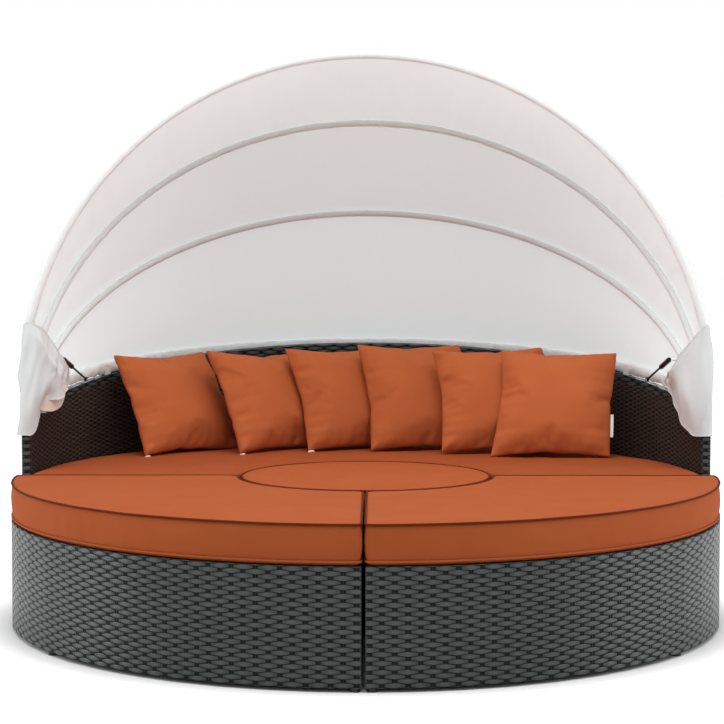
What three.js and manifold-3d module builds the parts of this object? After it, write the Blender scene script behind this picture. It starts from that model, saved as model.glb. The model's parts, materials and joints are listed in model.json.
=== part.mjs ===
// Round outdoor daybed with a folding canopy, in millimetres, +Z up.
// The plan is a circle split into a back unit, two front units and a round centre ottoman.
// Plan places are measured from the circle's centre; the whole group is shifted at the end so that
// its origin is on the floor, in the middle of its box.

import * as THREE from 'three';
import { mergeVertices } from 'three/addons/utils/BufferGeometryUtils.js';
import Module from 'manifold-3d';

const wasm = await Module();
wasm.setup();

// Clearance between pieces that touch, and how far a cutter runs past what it cuts
const touch = 0.3;
const overrun = 20;

// Base units
const baseRadius = 1148;
const unitGap = 12;
const ottomanRadius = 402;
const ottomanClearance = 12;
const footHeight = 12;
const footRadius = 14;
const wickerTop = 346;
const skinThickness = 6;
const deckThickness = 8;
const railWidth = 20;
const railHeight = 25;
const legRadius = 8;
const legSetback = 1.5;
const crossBarWidth = 30;
const frontArcLegDegrees = -35;
const frontCrossBarDegrees = -45;
const backLegDegrees = 58;
const backCrossBarDegrees = [45, 90, 135];
const ottomanLegDegrees = [90, 210, 330];

// Backrest
const backrestThickness = 26;
const armFront = 90;
const armTopHeight = 635;
const backrestRise = 204;
const rimHeight = 25;
const backrestTube = 9;
const backrestTubeHeight = 20;
const backrestPostWidth = 25;
const postDegrees = [12, 45, 72, 108, 135, 168];

// Seat cushions
const cushionSetback = 2;
const cushionSeam = 4;
const backCushionWallGap = 7;
const ottomanCushionGrowth = 8;
const cushionCornerRadius = 24;
const bottomPipingHeight = 358;
const topPipingHeight = 460;
const backTopPipingHeight = 450;
const crownRise = 11;
const backCrownRise = 21;
const bottomRollInset = 16;
const pipingInset = 4;
const sideBulgeStep = 24;
const crownShoulderInset = 18;
const crownShoulderShare = 0.6;
const crownInset = 70;

// Throw pillows
const pillowSide = 415;
const pillowThickness = 130;
const pillowLean = 27;
const pillowPinchShare = 0.11;

// Lower left corner of each pillow, from the left, as shares of the back cushion's radius, and the way
// that the pillow faces, in degrees
const pillowPlaces = [
  { acrossShare: -0.6915, depthShare: 0.408, facing: 45 },
  { acrossShare: -0.3965, depthShare: 0.469, facing: 45 },
  { acrossShare: -0.183, depthShare: 0.56, facing: 30 },
  { acrossShare: 0.017, depthShare: 0.5605, facing: 16 },
  { acrossShare: 0.2395, depthShare: 0.4725, facing: 10 },
  { acrossShare: 0.392, depthShare: 0.4152, facing: -8 },
];

// Canopy bows: concentric steel tubes on one pivot line, whose legs draw closer together at the feet
const tubeRadius = 8.5;
const tubeWall = 1.5;
const bowPitch = 24;
const bowFootPitch = 18.5;
const bowTuckRise = 150;
const frontBowInset = 1;
const pivotY = 131;
const pivotRise = 56;
const bowFootDrop = 14;
const frontBowLean = 7.2;
const upperBowLean = 33.3;
const lowerBowLean = 55.8;
// The rear bow lies along the backrest's rim, this many degrees flatter than its slope
const rearBowSettle = 3.7763;

// Pivot hubs
const pinRadius = 5;
const pinClearance = 0.5;
const pinHeadRadius = 9;
const pinHeadThickness = 2;
const hubPlate = 3;
const hubLength = 52;
const hubEarRadius = 19;
const hubEarGap = 1;

// Canopy cloth
const clothGap = 2;
const clothThickness = 2;
const panelFootRise = 190;
const panelJoint = 0.8;

// Side flaps of the canopy, draped over the arm fronts. Each line runs from behind on the outside,
// round the arm's front, to behind on the inside. A point is given by its way out from the base's
// edge, back from the pivot line and up from it.
const flapHem = [
  [-27, 169, -64], [-7, 74, -102], [1, -1, -122], [-1, -53, -126], [-26, -61, -126],
  [-58, -55, -124], [-74, -19, -112], [-82, 59, -80], [-91, 149, -38], [-115, 241, -2],
];
const flapWaist = [
  [-30, 169, -14], [-11, 84, -22], [-1.4, 7, -30], [-7, -41, -34], [-42, -55, -36],
  [-82, -47, -34], [-99, -3, -26], [-101, 74, -10], [-103, 159, 20], [-117, 245, 38],
];
const flapTop = [
  [-34, 159, 118], [-12, 91, 170], [-2, 39, 186], [-6, 11, 224], [-34, 3, 226],
  [-52, 11, 220], [-66, 34, 202], [-84, 84, 158], [-103, 157, 98], [-119, 239, 56],
];
const flapFoldDepth = 2.5;
const flapFoldCount = 6;

// Gas struts between studs on the rear bow and on the lower bow
const strutFootReach = 369;
const strutFootInset = 21;
const strutFootDrop = 13;
const strutHeadRise = 195;
const strutHeadInset = 47.5;
const foldedBowAngle = 5;
const strutHeadGap = 6;
const strutRodRadius = 3.5;
const strutTubeRadius = 9;
const strutTubeWall = 1.4;
const strutTubeStart = 148;
const strutTubeCap = 5;
const strutPistonRadius = 7.2;
const strutPistonLength = 8;
const strutPistonDepth = 6;
const strutRodGuide = 3.9;
const strutEyeRadius = 8;
const strutEyeThickness = 8;
const strutStudRadius = 4;
const strutStudClearance = 0.5;
const strutLugRadius = 5;

// Brackets that hold the rear bow over the rim
const bracketReach = 519;
const bracketInside = 13;
const bracketOutside = 5;
const bracketWidth = 26;
const bracketCover = 4;

// Counts of facets
const arcSteps = 26;
const notchSteps = 12;
const ottomanSteps = 32;
const bowSteps = 24;
const bowFootSteps = 3;
const tubeSides = 8;
const boreSides = 6;
const roundSides = 12;
const panelSteps = 30;
const panelStrips = 4;
const flapSteps = 28;
const flapLevels = 4;
const pillowCells = 8;

// Worked out from the sizes above
const halfGap = unitGap / 2;
const halfSeam = cushionSeam / 2;
const notchRadius = ottomanRadius + ottomanClearance;
const deckBottom = wickerTop - deckThickness;
const railTop = deckBottom - touch;
const railInset = skinThickness + touch;
const backrestInnerRadius = baseRadius - backrestThickness;
const backrestSlope = backrestRise / baseRadius;
const pivotHeight = armTopHeight + backrestSlope * pivotY + pivotRise;
const rimAngle = THREE.MathUtils.radToDeg(Math.atan(backrestSlope));
const rearBowLean = 90 - rimAngle + rearBowSettle;
const frontBowRadius = baseRadius - frontBowInset;
const upperBowRadius = frontBowRadius - bowPitch;
const lowerBowRadius = upperBowRadius - bowPitch;
const rearBowRadius = lowerBowRadius - bowPitch;
const bowTuck = bowPitch - bowFootPitch;
const clothOffset = tubeRadius + clothGap;
const ottomanCushionRadius = ottomanRadius + ottomanCushionGrowth;
const crownHeight = topPipingHeight + crownRise;
const backCrownHeight = backTopPipingHeight + backCrownRise;

// A bow's tuck is how far its feet stand in from the circle of its arc
const frontBow = { radius: frontBowRadius, tuck: 3 * bowTuck, lean: THREE.MathUtils.degToRad(frontBowLean) };
const upperBow = { radius: upperBowRadius, tuck: 2 * bowTuck, lean: THREE.MathUtils.degToRad(upperBowLean) };
const lowerBow = { radius: lowerBowRadius, tuck: bowTuck, lean: THREE.MathUtils.degToRad(lowerBowLean) };
const rearBow = { radius: rearBowRadius, tuck: 0, lean: THREE.MathUtils.degToRad(rearBowLean) };

const wickerMaterial = new THREE.MeshStandardMaterial({ color: 0x3b3f44, roughness: 0.6, metalness: 0 });
const backWickerMaterial = new THREE.MeshStandardMaterial({ color: 0x2c221d, roughness: 0.6, metalness: 0 });
const frameMaterial = new THREE.MeshStandardMaterial({ color: 0x2b2b2b, roughness: 0.45, metalness: 0.6 });
const footMaterial = new THREE.MeshStandardMaterial({ color: 0x141414, roughness: 0.7, metalness: 0 });
const cushionMaterial = new THREE.MeshStandardMaterial({ color: 0xb9602d, roughness: 0.9, metalness: 0 });
const canopyMaterial = new THREE.MeshStandardMaterial({ color: 0xe9e6e2, roughness: 0.95, metalness: 0 });
const bowMaterial = new THREE.MeshStandardMaterial({ color: 0xc9c9c6, roughness: 0.4, metalness: 0.7 });
const strutMaterial = new THREE.MeshStandardMaterial({ color: 0x101010, roughness: 0.35, metalness: 0.5 });

const daybed = new THREE.Group();

// Adds one named piece to the model
function addPiece(name, geometry, material) {
  const mesh = new THREE.Mesh(geometry, material);
  mesh.name = name;
  daybed.add(mesh);
  return mesh;
}

// Solids and booleans

// A closed geometry from points and triangles, turned so that its faces point out
function closedGeometry(points, triangles) {
  let volume = 0;
  for (const [a, b, c] of triangles) {
    volume += points[a].dot(new THREE.Vector3().crossVectors(points[b], points[c]));
  }
  const outward = volume >= 0 ? triangles : triangles.map(([a, b, c]) => [a, c, b]);
  const geometry = new THREE.BufferGeometry();
  geometry.setAttribute('position', new THREE.Float32BufferAttribute(points.flatMap((p) => [p.x, p.y, p.z]), 3));
  geometry.setIndex(outward.flat());
  return geometry;
}

function toSolid(geometry) {
  const bare = geometry.clone();
  bare.deleteAttribute('normal');
  bare.deleteAttribute('uv');
  const merged = mergeVertices(bare);
  return new wasm.Manifold(new wasm.Mesh({
    numProp: 3,
    vertProperties: new Float32Array(merged.attributes.position.array),
    triVerts: new Uint32Array(merged.index.array),
  }));
}

function fromSolid(solid) {
  const mesh = solid.getMesh();
  const geometry = new THREE.BufferGeometry();
  geometry.setAttribute('position', new THREE.BufferAttribute(new Float32Array(mesh.vertProperties), 3));
  geometry.setIndex(new THREE.BufferAttribute(new Uint32Array(mesh.triVerts), 1));
  return geometry;
}

function fused(...geometries) {
  return fromSolid(geometries.map(toSolid).reduce((whole, next) => whole.add(next)));
}

function cutBy(geometry, ...cutters) {
  return fromSolid(cutters.map(toSolid).reduce((whole, next) => whole.subtract(next), toSolid(geometry)));
}

// Rings of equal point counts joined into one solid with a flat cap at each end
function loft(rings) {
  const count = rings[0].length;
  const points = rings.flat();
  const triangles = [];
  for (let k = 0; k < rings.length - 1; k += 1) {
    for (let i = 0; i < count; i += 1) {
      const next = (i + 1) % count;
      const a = k * count + i;
      const b = k * count + next;
      triangles.push([a, b, b + count], [a, b + count, a + count]);
    }
  }
  const lastStart = (rings.length - 1) * count;
  for (const [i, j, k] of capTriangles(rings[0])) {
    triangles.push([k, j, i]);
  }
  for (const [i, j, k] of capTriangles(rings[rings.length - 1])) {
    triangles.push([lastStart + i, lastStart + j, lastStart + k]);
  }
  return closedGeometry(points, triangles);
}

// Triangles of a flat ring, in the ring's own turning direction
function capTriangles(ring) {
  const normal = new THREE.Vector3();
  for (let i = 0; i < ring.length; i += 1) {
    normal.add(new THREE.Vector3().crossVectors(ring[i], ring[(i + 1) % ring.length]));
  }
  normal.normalize();
  const across = new THREE.Vector3().subVectors(ring[1], ring[0]).normalize();
  const along = new THREE.Vector3().crossVectors(normal, across);
  const flat = ring.map((p) => new THREE.Vector2(p.dot(across), p.dot(along)));
  return THREE.ShapeUtils.triangulateShape(flat, []);
}

// A sheet of even thickness from a grid of points and its outward direction at each point
function thickSheet(grid, outward, thickness) {
  const rows = grid.length;
  const columns = grid[0].length;
  const inner = grid.flat();
  const outer = inner.map((p, k) => p.clone().addScaledVector(outward.flat()[k], thickness));
  const at = (i, j) => i * columns + j;
  const half = rows * columns;
  const triangles = [];
  for (let i = 0; i < rows - 1; i += 1) {
    for (let j = 0; j < columns - 1; j += 1) {
      const [a, b, c, d] = [at(i, j), at(i + 1, j), at(i + 1, j + 1), at(i, j + 1)];
      triangles.push([a, c, b], [a, d, c]);
      triangles.push([half + a, half + b, half + c], [half + a, half + c, half + d]);
    }
  }
  const edge = [];
  for (let i = 0; i < rows - 1; i += 1) edge.push(at(i, 0));
  for (let j = 0; j < columns - 1; j += 1) edge.push(at(rows - 1, j));
  for (let i = rows - 1; i > 0; i -= 1) edge.push(at(i, columns - 1));
  for (let j = columns - 1; j > 0; j -= 1) edge.push(at(0, j));
  edge.forEach((a, k) => {
    const b = edge[(k + 1) % edge.length];
    triangles.push([a, b, half + b], [a, half + b, half + a]);
  });
  return closedGeometry([...inner, ...outer], triangles);
}

function extruded(outline, holes, bottom, height) {
  const shape = new THREE.Shape(outline);
  holes.forEach((hole) => shape.holes.push(new THREE.Path(hole)));
  const geometry = new THREE.ExtrudeGeometry(shape, { depth: height, bevelEnabled: false });
  return geometry.translate(0, 0, bottom);
}

// A cylinder between two points
function rodBetween(start, end, radius, sides) {
  const axis = new THREE.Vector3().subVectors(end, start);
  const geometry = new THREE.CylinderGeometry(radius, radius, axis.length(), sides);
  geometry.applyQuaternion(new THREE.Quaternion().setFromUnitVectors(THREE.Object3D.DEFAULT_UP, axis.normalize()));
  const middle = new THREE.Vector3().addVectors(start, end).multiplyScalar(0.5);
  return geometry.translate(middle.x, middle.y, middle.z);
}

function mirrored(geometry) {
  const copy = geometry.clone().applyMatrix4(new THREE.Matrix4().makeScale(-1, 1, 1));
  const solid = mergeVertices(withoutShading(copy));
  const index = solid.index.array;
  const triangles = [];
  for (let i = 0; i < index.length; i += 3) triangles.push([index[i], index[i + 1], index[i + 2]]);
  const position = solid.attributes.position;
  const points = Array.from({ length: position.count }, (_, i) => new THREE.Vector3().fromBufferAttribute(position, i));
  return closedGeometry(points, triangles);
}

function withoutShading(geometry) {
  geometry.deleteAttribute('normal');
  geometry.deleteAttribute('uv');
  return geometry;
}

// Plan outlines, turning anticlockwise, drawn in from the unit's edge by an inset

function arcPoints(radius, startAngle, endAngle, steps) {
  return Array.from({ length: steps + 1 }, (_, i) => {
    const angle = startAngle + (endAngle - startAngle) * (i / steps);
    return new THREE.Vector2(radius * Math.cos(angle), radius * Math.sin(angle));
  });
}

// An arc whose facets stand at the same angles for every radius, cut off square at a side line.
// The end points lie on the first and last facet, at the side line's distance from the arc's ends.
function trimmedArc(radius, startAngle, span, steps, side) {
  const step = span / steps;
  const shortened = radius - side * Math.tan(Math.abs(step) / 2);
  const turned = (x, y, angle) => new THREE.Vector2(x, y).rotateAround(new THREE.Vector2(), angle);
  const inner = arcPoints(radius, startAngle, startAngle + span, steps).slice(1, -1);
  const lift = side * Math.sign(span);
  return [turned(shortened, lift, startAngle), ...inner, turned(shortened, -lift, startAngle + span)];
}

// Right front unit: a quarter of the circle without the ottoman's quarter
function quarterOutline(outer, notch, gap, inset) {
  const quarter = Math.PI / 2;
  const side = gap + inset;
  return [
    ...trimmedArc(outer - inset, -quarter, quarter, arcSteps / 2, side),
    ...trimmedArc(notch + inset, 0, -quarter, notchSteps / 2, side),
  ];
}

// Back unit: half of the circle without the ottoman's half
function halfOutline(outer, notch, gap, inset) {
  const side = gap + inset;
  return [
    ...trimmedArc(outer - inset, 0, Math.PI, arcSteps, side),
    ...trimmedArc(notch + inset, Math.PI, -Math.PI, notchSteps, side),
  ];
}

function circleOutline(radius, inset) {
  return arcPoints(radius - inset, 0, Math.PI * 2, ottomanSteps).slice(0, ottomanSteps);
}

// Every sharp corner of an outline becomes a short curve
function roundCorners(outline, radius) {
  const sharpTurn = Math.PI / 6;
  return outline.flatMap((corner, i) => {
    const before = outline[(i + outline.length - 1) % outline.length];
    const after = outline[(i + 1) % outline.length];
    const arriving = new THREE.Vector2().subVectors(corner, before);
    const leaving = new THREE.Vector2().subVectors(after, corner);
    const turn = Math.abs(Math.atan2(arriving.cross(leaving), arriving.dot(leaving)));
    if (turn < sharpTurn) return [corner];
    const start = corner.clone().addScaledVector(arriving.normalize(), -radius);
    const end = corner.clone().addScaledVector(leaving.normalize(), radius);
    return new THREE.QuadraticBezierCurve(start, corner, end).getPoints(3);
  });
}

// Base units: a woven skin round a frame with legs, a deck on top and glide feet

function frontUnitOutline(inset) {
  return quarterOutline(baseRadius, notchRadius, halfGap, inset);
}

function backUnitOutline(inset) {
  return halfOutline(baseRadius, notchRadius, halfGap, inset);
}

function centreUnitOutline(inset) {
  return circleOutline(ottomanRadius, inset);
}

const legInset = railInset + railWidth / 2 + legSetback;

function polarPoint(radius, degrees) {
  const angle = THREE.MathUtils.degToRad(degrees);
  return new THREE.Vector2(radius * Math.cos(angle), radius * Math.sin(angle));
}

function baseFrame(outlineAt, legs, crossBars) {
  const ring = extruded(
    outlineAt(railInset), [outlineAt(railInset + railWidth)], railTop - railHeight, railHeight,
  );
  const legPieces = legs.map((leg) => rodBetween(
    new THREE.Vector3(leg.x, leg.y, footHeight + touch),
    new THREE.Vector3(leg.x, leg.y, railTop - railHeight / 2),
    legRadius,
    tubeSides,
  ));
  const barPieces = crossBars.map(([start, end]) => {
    const along = new THREE.Vector2().subVectors(end, start);
    const bar = new THREE.BoxGeometry(along.length(), crossBarWidth, railHeight / 2);
    bar.rotateZ(along.angle());
    const middle = new THREE.Vector2().addVectors(start, end).multiplyScalar(0.5);
    return bar.translate(middle.x, middle.y, railTop - railHeight / 2);
  });
  return fused(ring, ...legPieces, ...barPieces);
}

function addUnit(prefix, outlineAt, legs, crossBars, side) {
  const placed = (geometry) => (side < 0 ? mirrored(geometry) : geometry);
  const skin = extruded(outlineAt(0), [outlineAt(skinThickness)], footHeight, wickerTop - footHeight);
  const deck = extruded(outlineAt(skinThickness + touch), [], deckBottom, deckThickness);
  addPiece(`${prefix}_wicker_skin`, placed(skin), wickerMaterial);
  addPiece(`${prefix}_seat_deck`, placed(deck), backWickerMaterial);
  addPiece(`${prefix}_base_frame`, placed(baseFrame(outlineAt, legs, crossBars)), frameMaterial);
  legs.forEach((leg, i) => {
    const foot = rodBetween(
      new THREE.Vector3(leg.x * side, leg.y, 0),
      new THREE.Vector3(leg.x * side, leg.y, footHeight),
      footRadius,
      roundSides,
    );
    addPiece(`${prefix}_foot_${i + 1}`, foot, footMaterial);
  });
}

const legCircle = baseRadius - legInset;
const legLine = halfGap + legInset;
const notchLegCircle = notchRadius + legInset;

const frontLegs = [
  new THREE.Vector2(legLine, -Math.sqrt(legCircle ** 2 - legLine ** 2)),
  polarPoint(legCircle, frontArcLegDegrees),
  new THREE.Vector2(Math.sqrt(legCircle ** 2 - legLine ** 2), -legLine),
  new THREE.Vector2(legLine, -Math.sqrt(notchLegCircle ** 2 - legLine ** 2)),
];
const frontCrossBars = [
  [polarPoint(notchLegCircle, frontCrossBarDegrees), polarPoint(legCircle, frontCrossBarDegrees)],
];
addUnit('front_right', frontUnitOutline, frontLegs, frontCrossBars, 1);
addUnit('front_left', frontUnitOutline, frontLegs, frontCrossBars, -1);

const backLegs = [
  new THREE.Vector2(Math.sqrt(legCircle ** 2 - legLine ** 2), legLine),
  new THREE.Vector2(-Math.sqrt(legCircle ** 2 - legLine ** 2), legLine),
  polarPoint(legCircle, backLegDegrees),
  polarPoint(legCircle, 180 - backLegDegrees),
];
const backCrossBars = backCrossBarDegrees.map((degrees) => [
  polarPoint(notchLegCircle, degrees), polarPoint(legCircle, degrees),
]);
addUnit('back', backUnitOutline, backLegs, backCrossBars, 1);

const ottomanLegCircle = ottomanRadius - legInset;
const ottomanLegs = ottomanLegDegrees.map((degrees) => polarPoint(ottomanLegCircle, degrees));
const ottomanCrossBars = [[polarPoint(ottomanLegCircle, 180), polarPoint(ottomanLegCircle, 0)]];
addUnit('centre', centreUnitOutline, ottomanLegs, ottomanCrossBars, 1);

// Backrest: a curved wall on the back unit whose top edge rises to the back

function topEdge(y) {
  return armTopHeight + backrestSlope * y;
}

// Points of the wall at one radius, from the right arm round to the left one
function wallArc(radius, startY, share) {
  const startAngle = Math.asin(startY / radius);
  const angle = startAngle + (Math.PI - 2 * startAngle) * share;
  return new THREE.Vector2(radius * Math.cos(angle), radius * Math.sin(angle));
}

function wallBetween(innerRadius, outerRadius, startY, bottomAt, topAt) {
  const rings = [];
  for (let i = 0; i <= arcSteps; i += 1) {
    const inner = wallArc(innerRadius, startY, i / arcSteps);
    const outer = wallArc(outerRadius, startY, i / arcSteps);
    rings.push([
      new THREE.Vector3(inner.x, inner.y, bottomAt(inner.y)),
      new THREE.Vector3(outer.x, outer.y, bottomAt(outer.y)),
      new THREE.Vector3(outer.x, outer.y, topAt(outer.y)),
      new THREE.Vector3(inner.x, inner.y, topAt(inner.y)),
    ]);
  }
  return loft(rings);
}

const wallBottom = wickerTop + touch;
const wallStart = armFront + rimHeight + touch;
const skinTopAt = (y) => topEdge(y) - rimHeight - touch;
const outerSkinInside = baseRadius - skinThickness;
const innerSkinOutside = backrestInnerRadius + skinThickness;
const wallMiddle = (outerSkinInside + innerSkinOutside) / 2;

addPiece(
  'backrest_outer_skin',
  wallBetween(outerSkinInside, baseRadius, wallStart, () => wallBottom, skinTopAt),
  wickerMaterial,
);
addPiece(
  'backrest_inner_skin',
  wallBetween(backrestInnerRadius, innerSkinOutside, wallStart, () => wallBottom, skinTopAt),
  backWickerMaterial,
);

// The rim runs up one arm's front edge, round the sloping top and down the other arm
function rimRing(share) {
  const inner = wallArc(backrestInnerRadius, armFront + rimHeight, share);
  const outer = wallArc(baseRadius, armFront + rimHeight, share);
  return [
    new THREE.Vector3(inner.x, inner.y, topEdge(inner.y)),
    new THREE.Vector3(outer.x, outer.y, topEdge(outer.y)),
    new THREE.Vector3(outer.x, outer.y, topEdge(outer.y) - rimHeight),
    new THREE.Vector3(inner.x, inner.y, topEdge(inner.y) - rimHeight),
  ];
}

function rimEndRing(side, frontHeight, backHeight) {
  const back = armFront + rimHeight;
  const across = (radius, y) => side * Math.sqrt(radius ** 2 - y ** 2);
  return [
    new THREE.Vector3(across(backrestInnerRadius, armFront), armFront, frontHeight),
    new THREE.Vector3(across(baseRadius, armFront), armFront, frontHeight),
    new THREE.Vector3(across(baseRadius, back), back, backHeight),
    new THREE.Vector3(across(backrestInnerRadius, back), back, backHeight),
  ];
}

function backrestRim() {
  const cornerBack = topEdge(armFront + rimHeight) - rimHeight;
  const rings = [rimEndRing(1, wallBottom, wallBottom), rimEndRing(1, topEdge(armFront), cornerBack)];
  for (let i = 1; i < arcSteps; i += 1) rings.push(rimRing(i / arcSteps));
  rings.push(rimEndRing(-1, topEdge(armFront), cornerBack), rimEndRing(-1, wallBottom, wallBottom));
  return loft(rings);
}
addPiece('backrest_rim', backrestRim(), wickerMaterial);

function backrestFrame() {
  const tubeTopAt = (y) => skinTopAt(y) - touch;
  const tubeBottomAt = (y) => tubeTopAt(y) - backrestTubeHeight;
  const tube = wallBetween(
    wallMiddle - backrestTube / 2, wallMiddle + backrestTube / 2, wallStart, tubeBottomAt, tubeTopAt,
  );
  const posts = postDegrees.map((degrees) => {
    const place = polarPoint(wallMiddle, degrees);
    const height = tubeBottomAt(place.y) + backrestTubeHeight / 2 - wallBottom;
    const post = new THREE.BoxGeometry(backrestTube, backrestPostWidth, height);
    post.rotateZ(THREE.MathUtils.degToRad(degrees));
    return post.translate(place.x, place.y, wallBottom + height / 2);
  });
  return fused(tube, ...posts);
}
addPiece('backrest_frame', backrestFrame(), frameMaterial);

// Seat cushions: piped boxes with a crowned top and bulging sides

function cushion(outlineAt, bottomPiping, topPiping, crown) {
  const bottom = wickerTop + touch;
  const levels = [
    [bottomRollInset * 2, bottom],
    [bottomRollInset, bottom],
    [pipingInset, bottomPiping],
    [0, bottomPiping + sideBulgeStep],
    [0, topPiping - sideBulgeStep],
    [pipingInset, topPiping],
    [crownShoulderInset, topPiping + crown * crownShoulderShare],
    [crownInset, topPiping + crown],
  ];
  return loft(levels.map(([inset, height]) => roundCorners(outlineAt(inset), cushionCornerRadius)
    .map((p) => new THREE.Vector3(p.x, p.y, height))));
}

const cushionRadius = baseRadius - cushionSetback;
const backCushionRadius = backrestInnerRadius - backCushionWallGap;
const cushionNotch = ottomanCushionRadius + cushionSeam;
const frontCushionAt = (inset) => quarterOutline(cushionRadius, cushionNotch, halfSeam, inset);
const backCushionAt = (inset) => halfOutline(backCushionRadius, cushionNotch, halfSeam, inset);
const centreCushionAt = (inset) => circleOutline(ottomanCushionRadius, inset);

const frontCushion = cushion(frontCushionAt, bottomPipingHeight, topPipingHeight, crownRise);
addPiece('front_right_cushion', frontCushion, cushionMaterial);
addPiece('front_left_cushion', mirrored(frontCushion), cushionMaterial);
addPiece(
  'back_cushion', cushion(backCushionAt, bottomPipingHeight, backTopPipingHeight, backCrownRise), cushionMaterial,
);
addPiece(
  'centre_cushion', cushion(centreCushionAt, bottomPipingHeight, topPipingHeight, crownRise), cushionMaterial,
);

// Throw pillows: knife-edged squares that lean back in a row, each a little in front of the one before

function pillowShape() {
  const half = pillowSide / 2;
  const row = (k) => Math.sin((k / pillowCells - 0.5) * Math.PI);
  const points = [];
  const place = (i, j, face) => {
    const u = row(i);
    const v = row(j);
    const swell = Math.sqrt(Math.max(0, 1 - u * u) * Math.max(0, 1 - v * v));
    return new THREE.Vector3(
      half * u * (1 - pillowPinchShare * (1 - v * v)),
      half * v * (1 - pillowPinchShare * (1 - u * u)),
      face * swell * pillowThickness / 2,
    );
  };
  const indexOf = new Map();
  const vertex = (i, j, face) => {
    const onEdge = i === 0 || j === 0 || i === pillowCells || j === pillowCells;
    const key = `${i} ${j} ${onEdge ? 0 : face}`;
    if (!indexOf.has(key)) {
      indexOf.set(key, points.length);
      points.push(place(i, j, onEdge ? 0 : face));
    }
    return indexOf.get(key);
  };
  const triangles = [];
  for (const face of [1, -1]) {
    for (let i = 0; i < pillowCells; i += 1) {
      for (let j = 0; j < pillowCells; j += 1) {
        const corners = [[i, j], [i + 1, j], [i + 1, j + 1], [i, j + 1]];
        const [a, b, c, d] = corners.map(([m, n]) => vertex(m, n, face));
        const lowerLeftToUpperRight = (i < pillowCells / 2) === (j < pillowCells / 2);
        const pair = lowerLeftToUpperRight ? [[a, b, c], [a, c, d]] : [[a, b, d], [b, c, d]];
        pair.forEach(([p, q, r]) => triangles.push(face > 0 ? [p, q, r] : [p, r, q]));
      }
    }
  }
  return closedGeometry(points, triangles);
}

const pillowBase = backCrownHeight + touch;

pillowPlaces.forEach(({ acrossShare, depthShare, facing }, i) => {
  const turn = THREE.MathUtils.degToRad(facing);
  const lean = THREE.MathUtils.degToRad(pillowLean);
  const across = new THREE.Vector3(Math.cos(turn), Math.sin(turn), 0);
  const up = new THREE.Vector3(
    -Math.sin(lean) * Math.sin(turn), Math.sin(lean) * Math.cos(turn), Math.cos(lean),
  );
  const outward = new THREE.Vector3().crossVectors(across, up);
  const pillow = addPiece(`throw_pillow_${i + 1}`, pillowShape(), cushionMaterial);
  pillow.quaternion.setFromRotationMatrix(new THREE.Matrix4().makeBasis(across, up, outward));
  pillow.position.set(acrossShare * backCushionRadius, depthShare * backCushionRadius, pillowBase);
  pillow.position.addScaledVector(across, pillowSide / 2).addScaledVector(up, pillowSide / 2);
});

// Canopy bows

// A point in a bow's plane: x across, rise measured from the pivot line along the leaning plane
function bowPoint(bow, x, rise, lift = 0) {
  const scale = 1 + lift / bow.radius;
  return new THREE.Vector3(
    x * scale,
    pivotY + rise * scale * Math.sin(bow.lean),
    pivotHeight + rise * scale * Math.cos(bow.lean),
  );
}

function bowArcPoint(bow, angle, lift) {
  return bowPoint(bow, bow.radius * Math.cos(angle), bow.radius * Math.sin(angle), lift);
}

// How far a leg is drawn in at a height above the pivot line
function bowTuckAt(bow, rise) {
  if (rise >= bowTuckRise) return 0;
  return bow.tuck * (1 + Math.cos(Math.PI * Math.max(0, rise) / bowTuckRise)) / 2;
}

// A point of a bow's centre line, by the way travelled from the right end of its arc
function bowCentre(bow, travelled) {
  const arcLength = Math.PI * bow.radius;
  const fromEnd = Math.min(travelled, arcLength - travelled);
  const side = travelled < arcLength / 2 ? 1 : -1;
  const angle = Math.max(0, fromEnd) / bow.radius;
  const rise = fromEnd < 0 ? fromEnd : bow.radius * Math.sin(angle);
  return bowPoint(bow, side * (bow.radius * Math.cos(angle) - bowTuckAt(bow, rise)), rise);
}

// Places along a bow where its rings stand: close together at the feet, even over the rest
function bowPlaces(bow) {
  const arcLength = Math.PI * bow.radius;
  const foot = [-bowFootDrop];
  for (let i = 0; i < bowFootSteps; i += 1) foot.push(bowTuckRise * (i / bowFootSteps));
  const arc = Array.from({ length: bowSteps + 1 }, (_, i) => (
    bowTuckRise + (arcLength - 2 * bowTuckRise) * (i / bowSteps)
  ));
  return [...foot, ...arc, ...foot.map((place) => arcLength - place).reverse()];
}

// A round bar of the given radius along a bow; its corners lie on that radius
function sweptAlongBow(bow, radius, sides) {
  const centres = bowPlaces(bow).map((place) => bowCentre(bow, place));
  const planeNormal = new THREE.Vector3(0, Math.cos(bow.lean), -Math.sin(bow.lean));
  return loft(centres.map((centre, i) => {
    const before = centres[Math.max(0, i - 1)];
    const after = centres[Math.min(centres.length - 1, i + 1)];
    const across = new THREE.Vector3().subVectors(after, before).normalize().cross(planeNormal);
    return Array.from({ length: sides }, (_, k) => {
      const angle = (k + 0.5) / sides * Math.PI * 2;
      return centre.clone()
        .addScaledVector(across, radius * Math.cos(angle))
        .addScaledVector(planeNormal, radius * Math.sin(angle));
    });
  }));
}

const pivotHole = rodBetween(
  new THREE.Vector3(-frontBowRadius - overrun, pivotY, pivotHeight),
  new THREE.Vector3(frontBowRadius + overrun, pivotY, pivotHeight),
  pinRadius + pinClearance,
  roundSides,
);

// A hollow tube along a bow, with the studs that are welded to it
function bowTube(bow, studs) {
  const bore = sweptAlongBow(bow, tubeRadius - tubeWall, boreSides);
  return cutBy(fused(sweptAlongBow(bow, tubeRadius, tubeSides), ...studs), bore, pivotHole);
}

addPiece('front_bow', bowTube(frontBow, []), bowMaterial);
addPiece('upper_bow', bowTube(upperBow, []), bowMaterial);

// Gas struts: a rod on the rear bow's stud slides in a tube that pushes the lower bow forward

// The point of a bow's right leg that stands a given way back from the pivot line
function legAtReach(bow, reach) {
  const rise = reach / Math.sin(bow.lean);
  return bowPoint(bow, Math.sqrt(bow.radius ** 2 - rise ** 2), rise);
}

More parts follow.
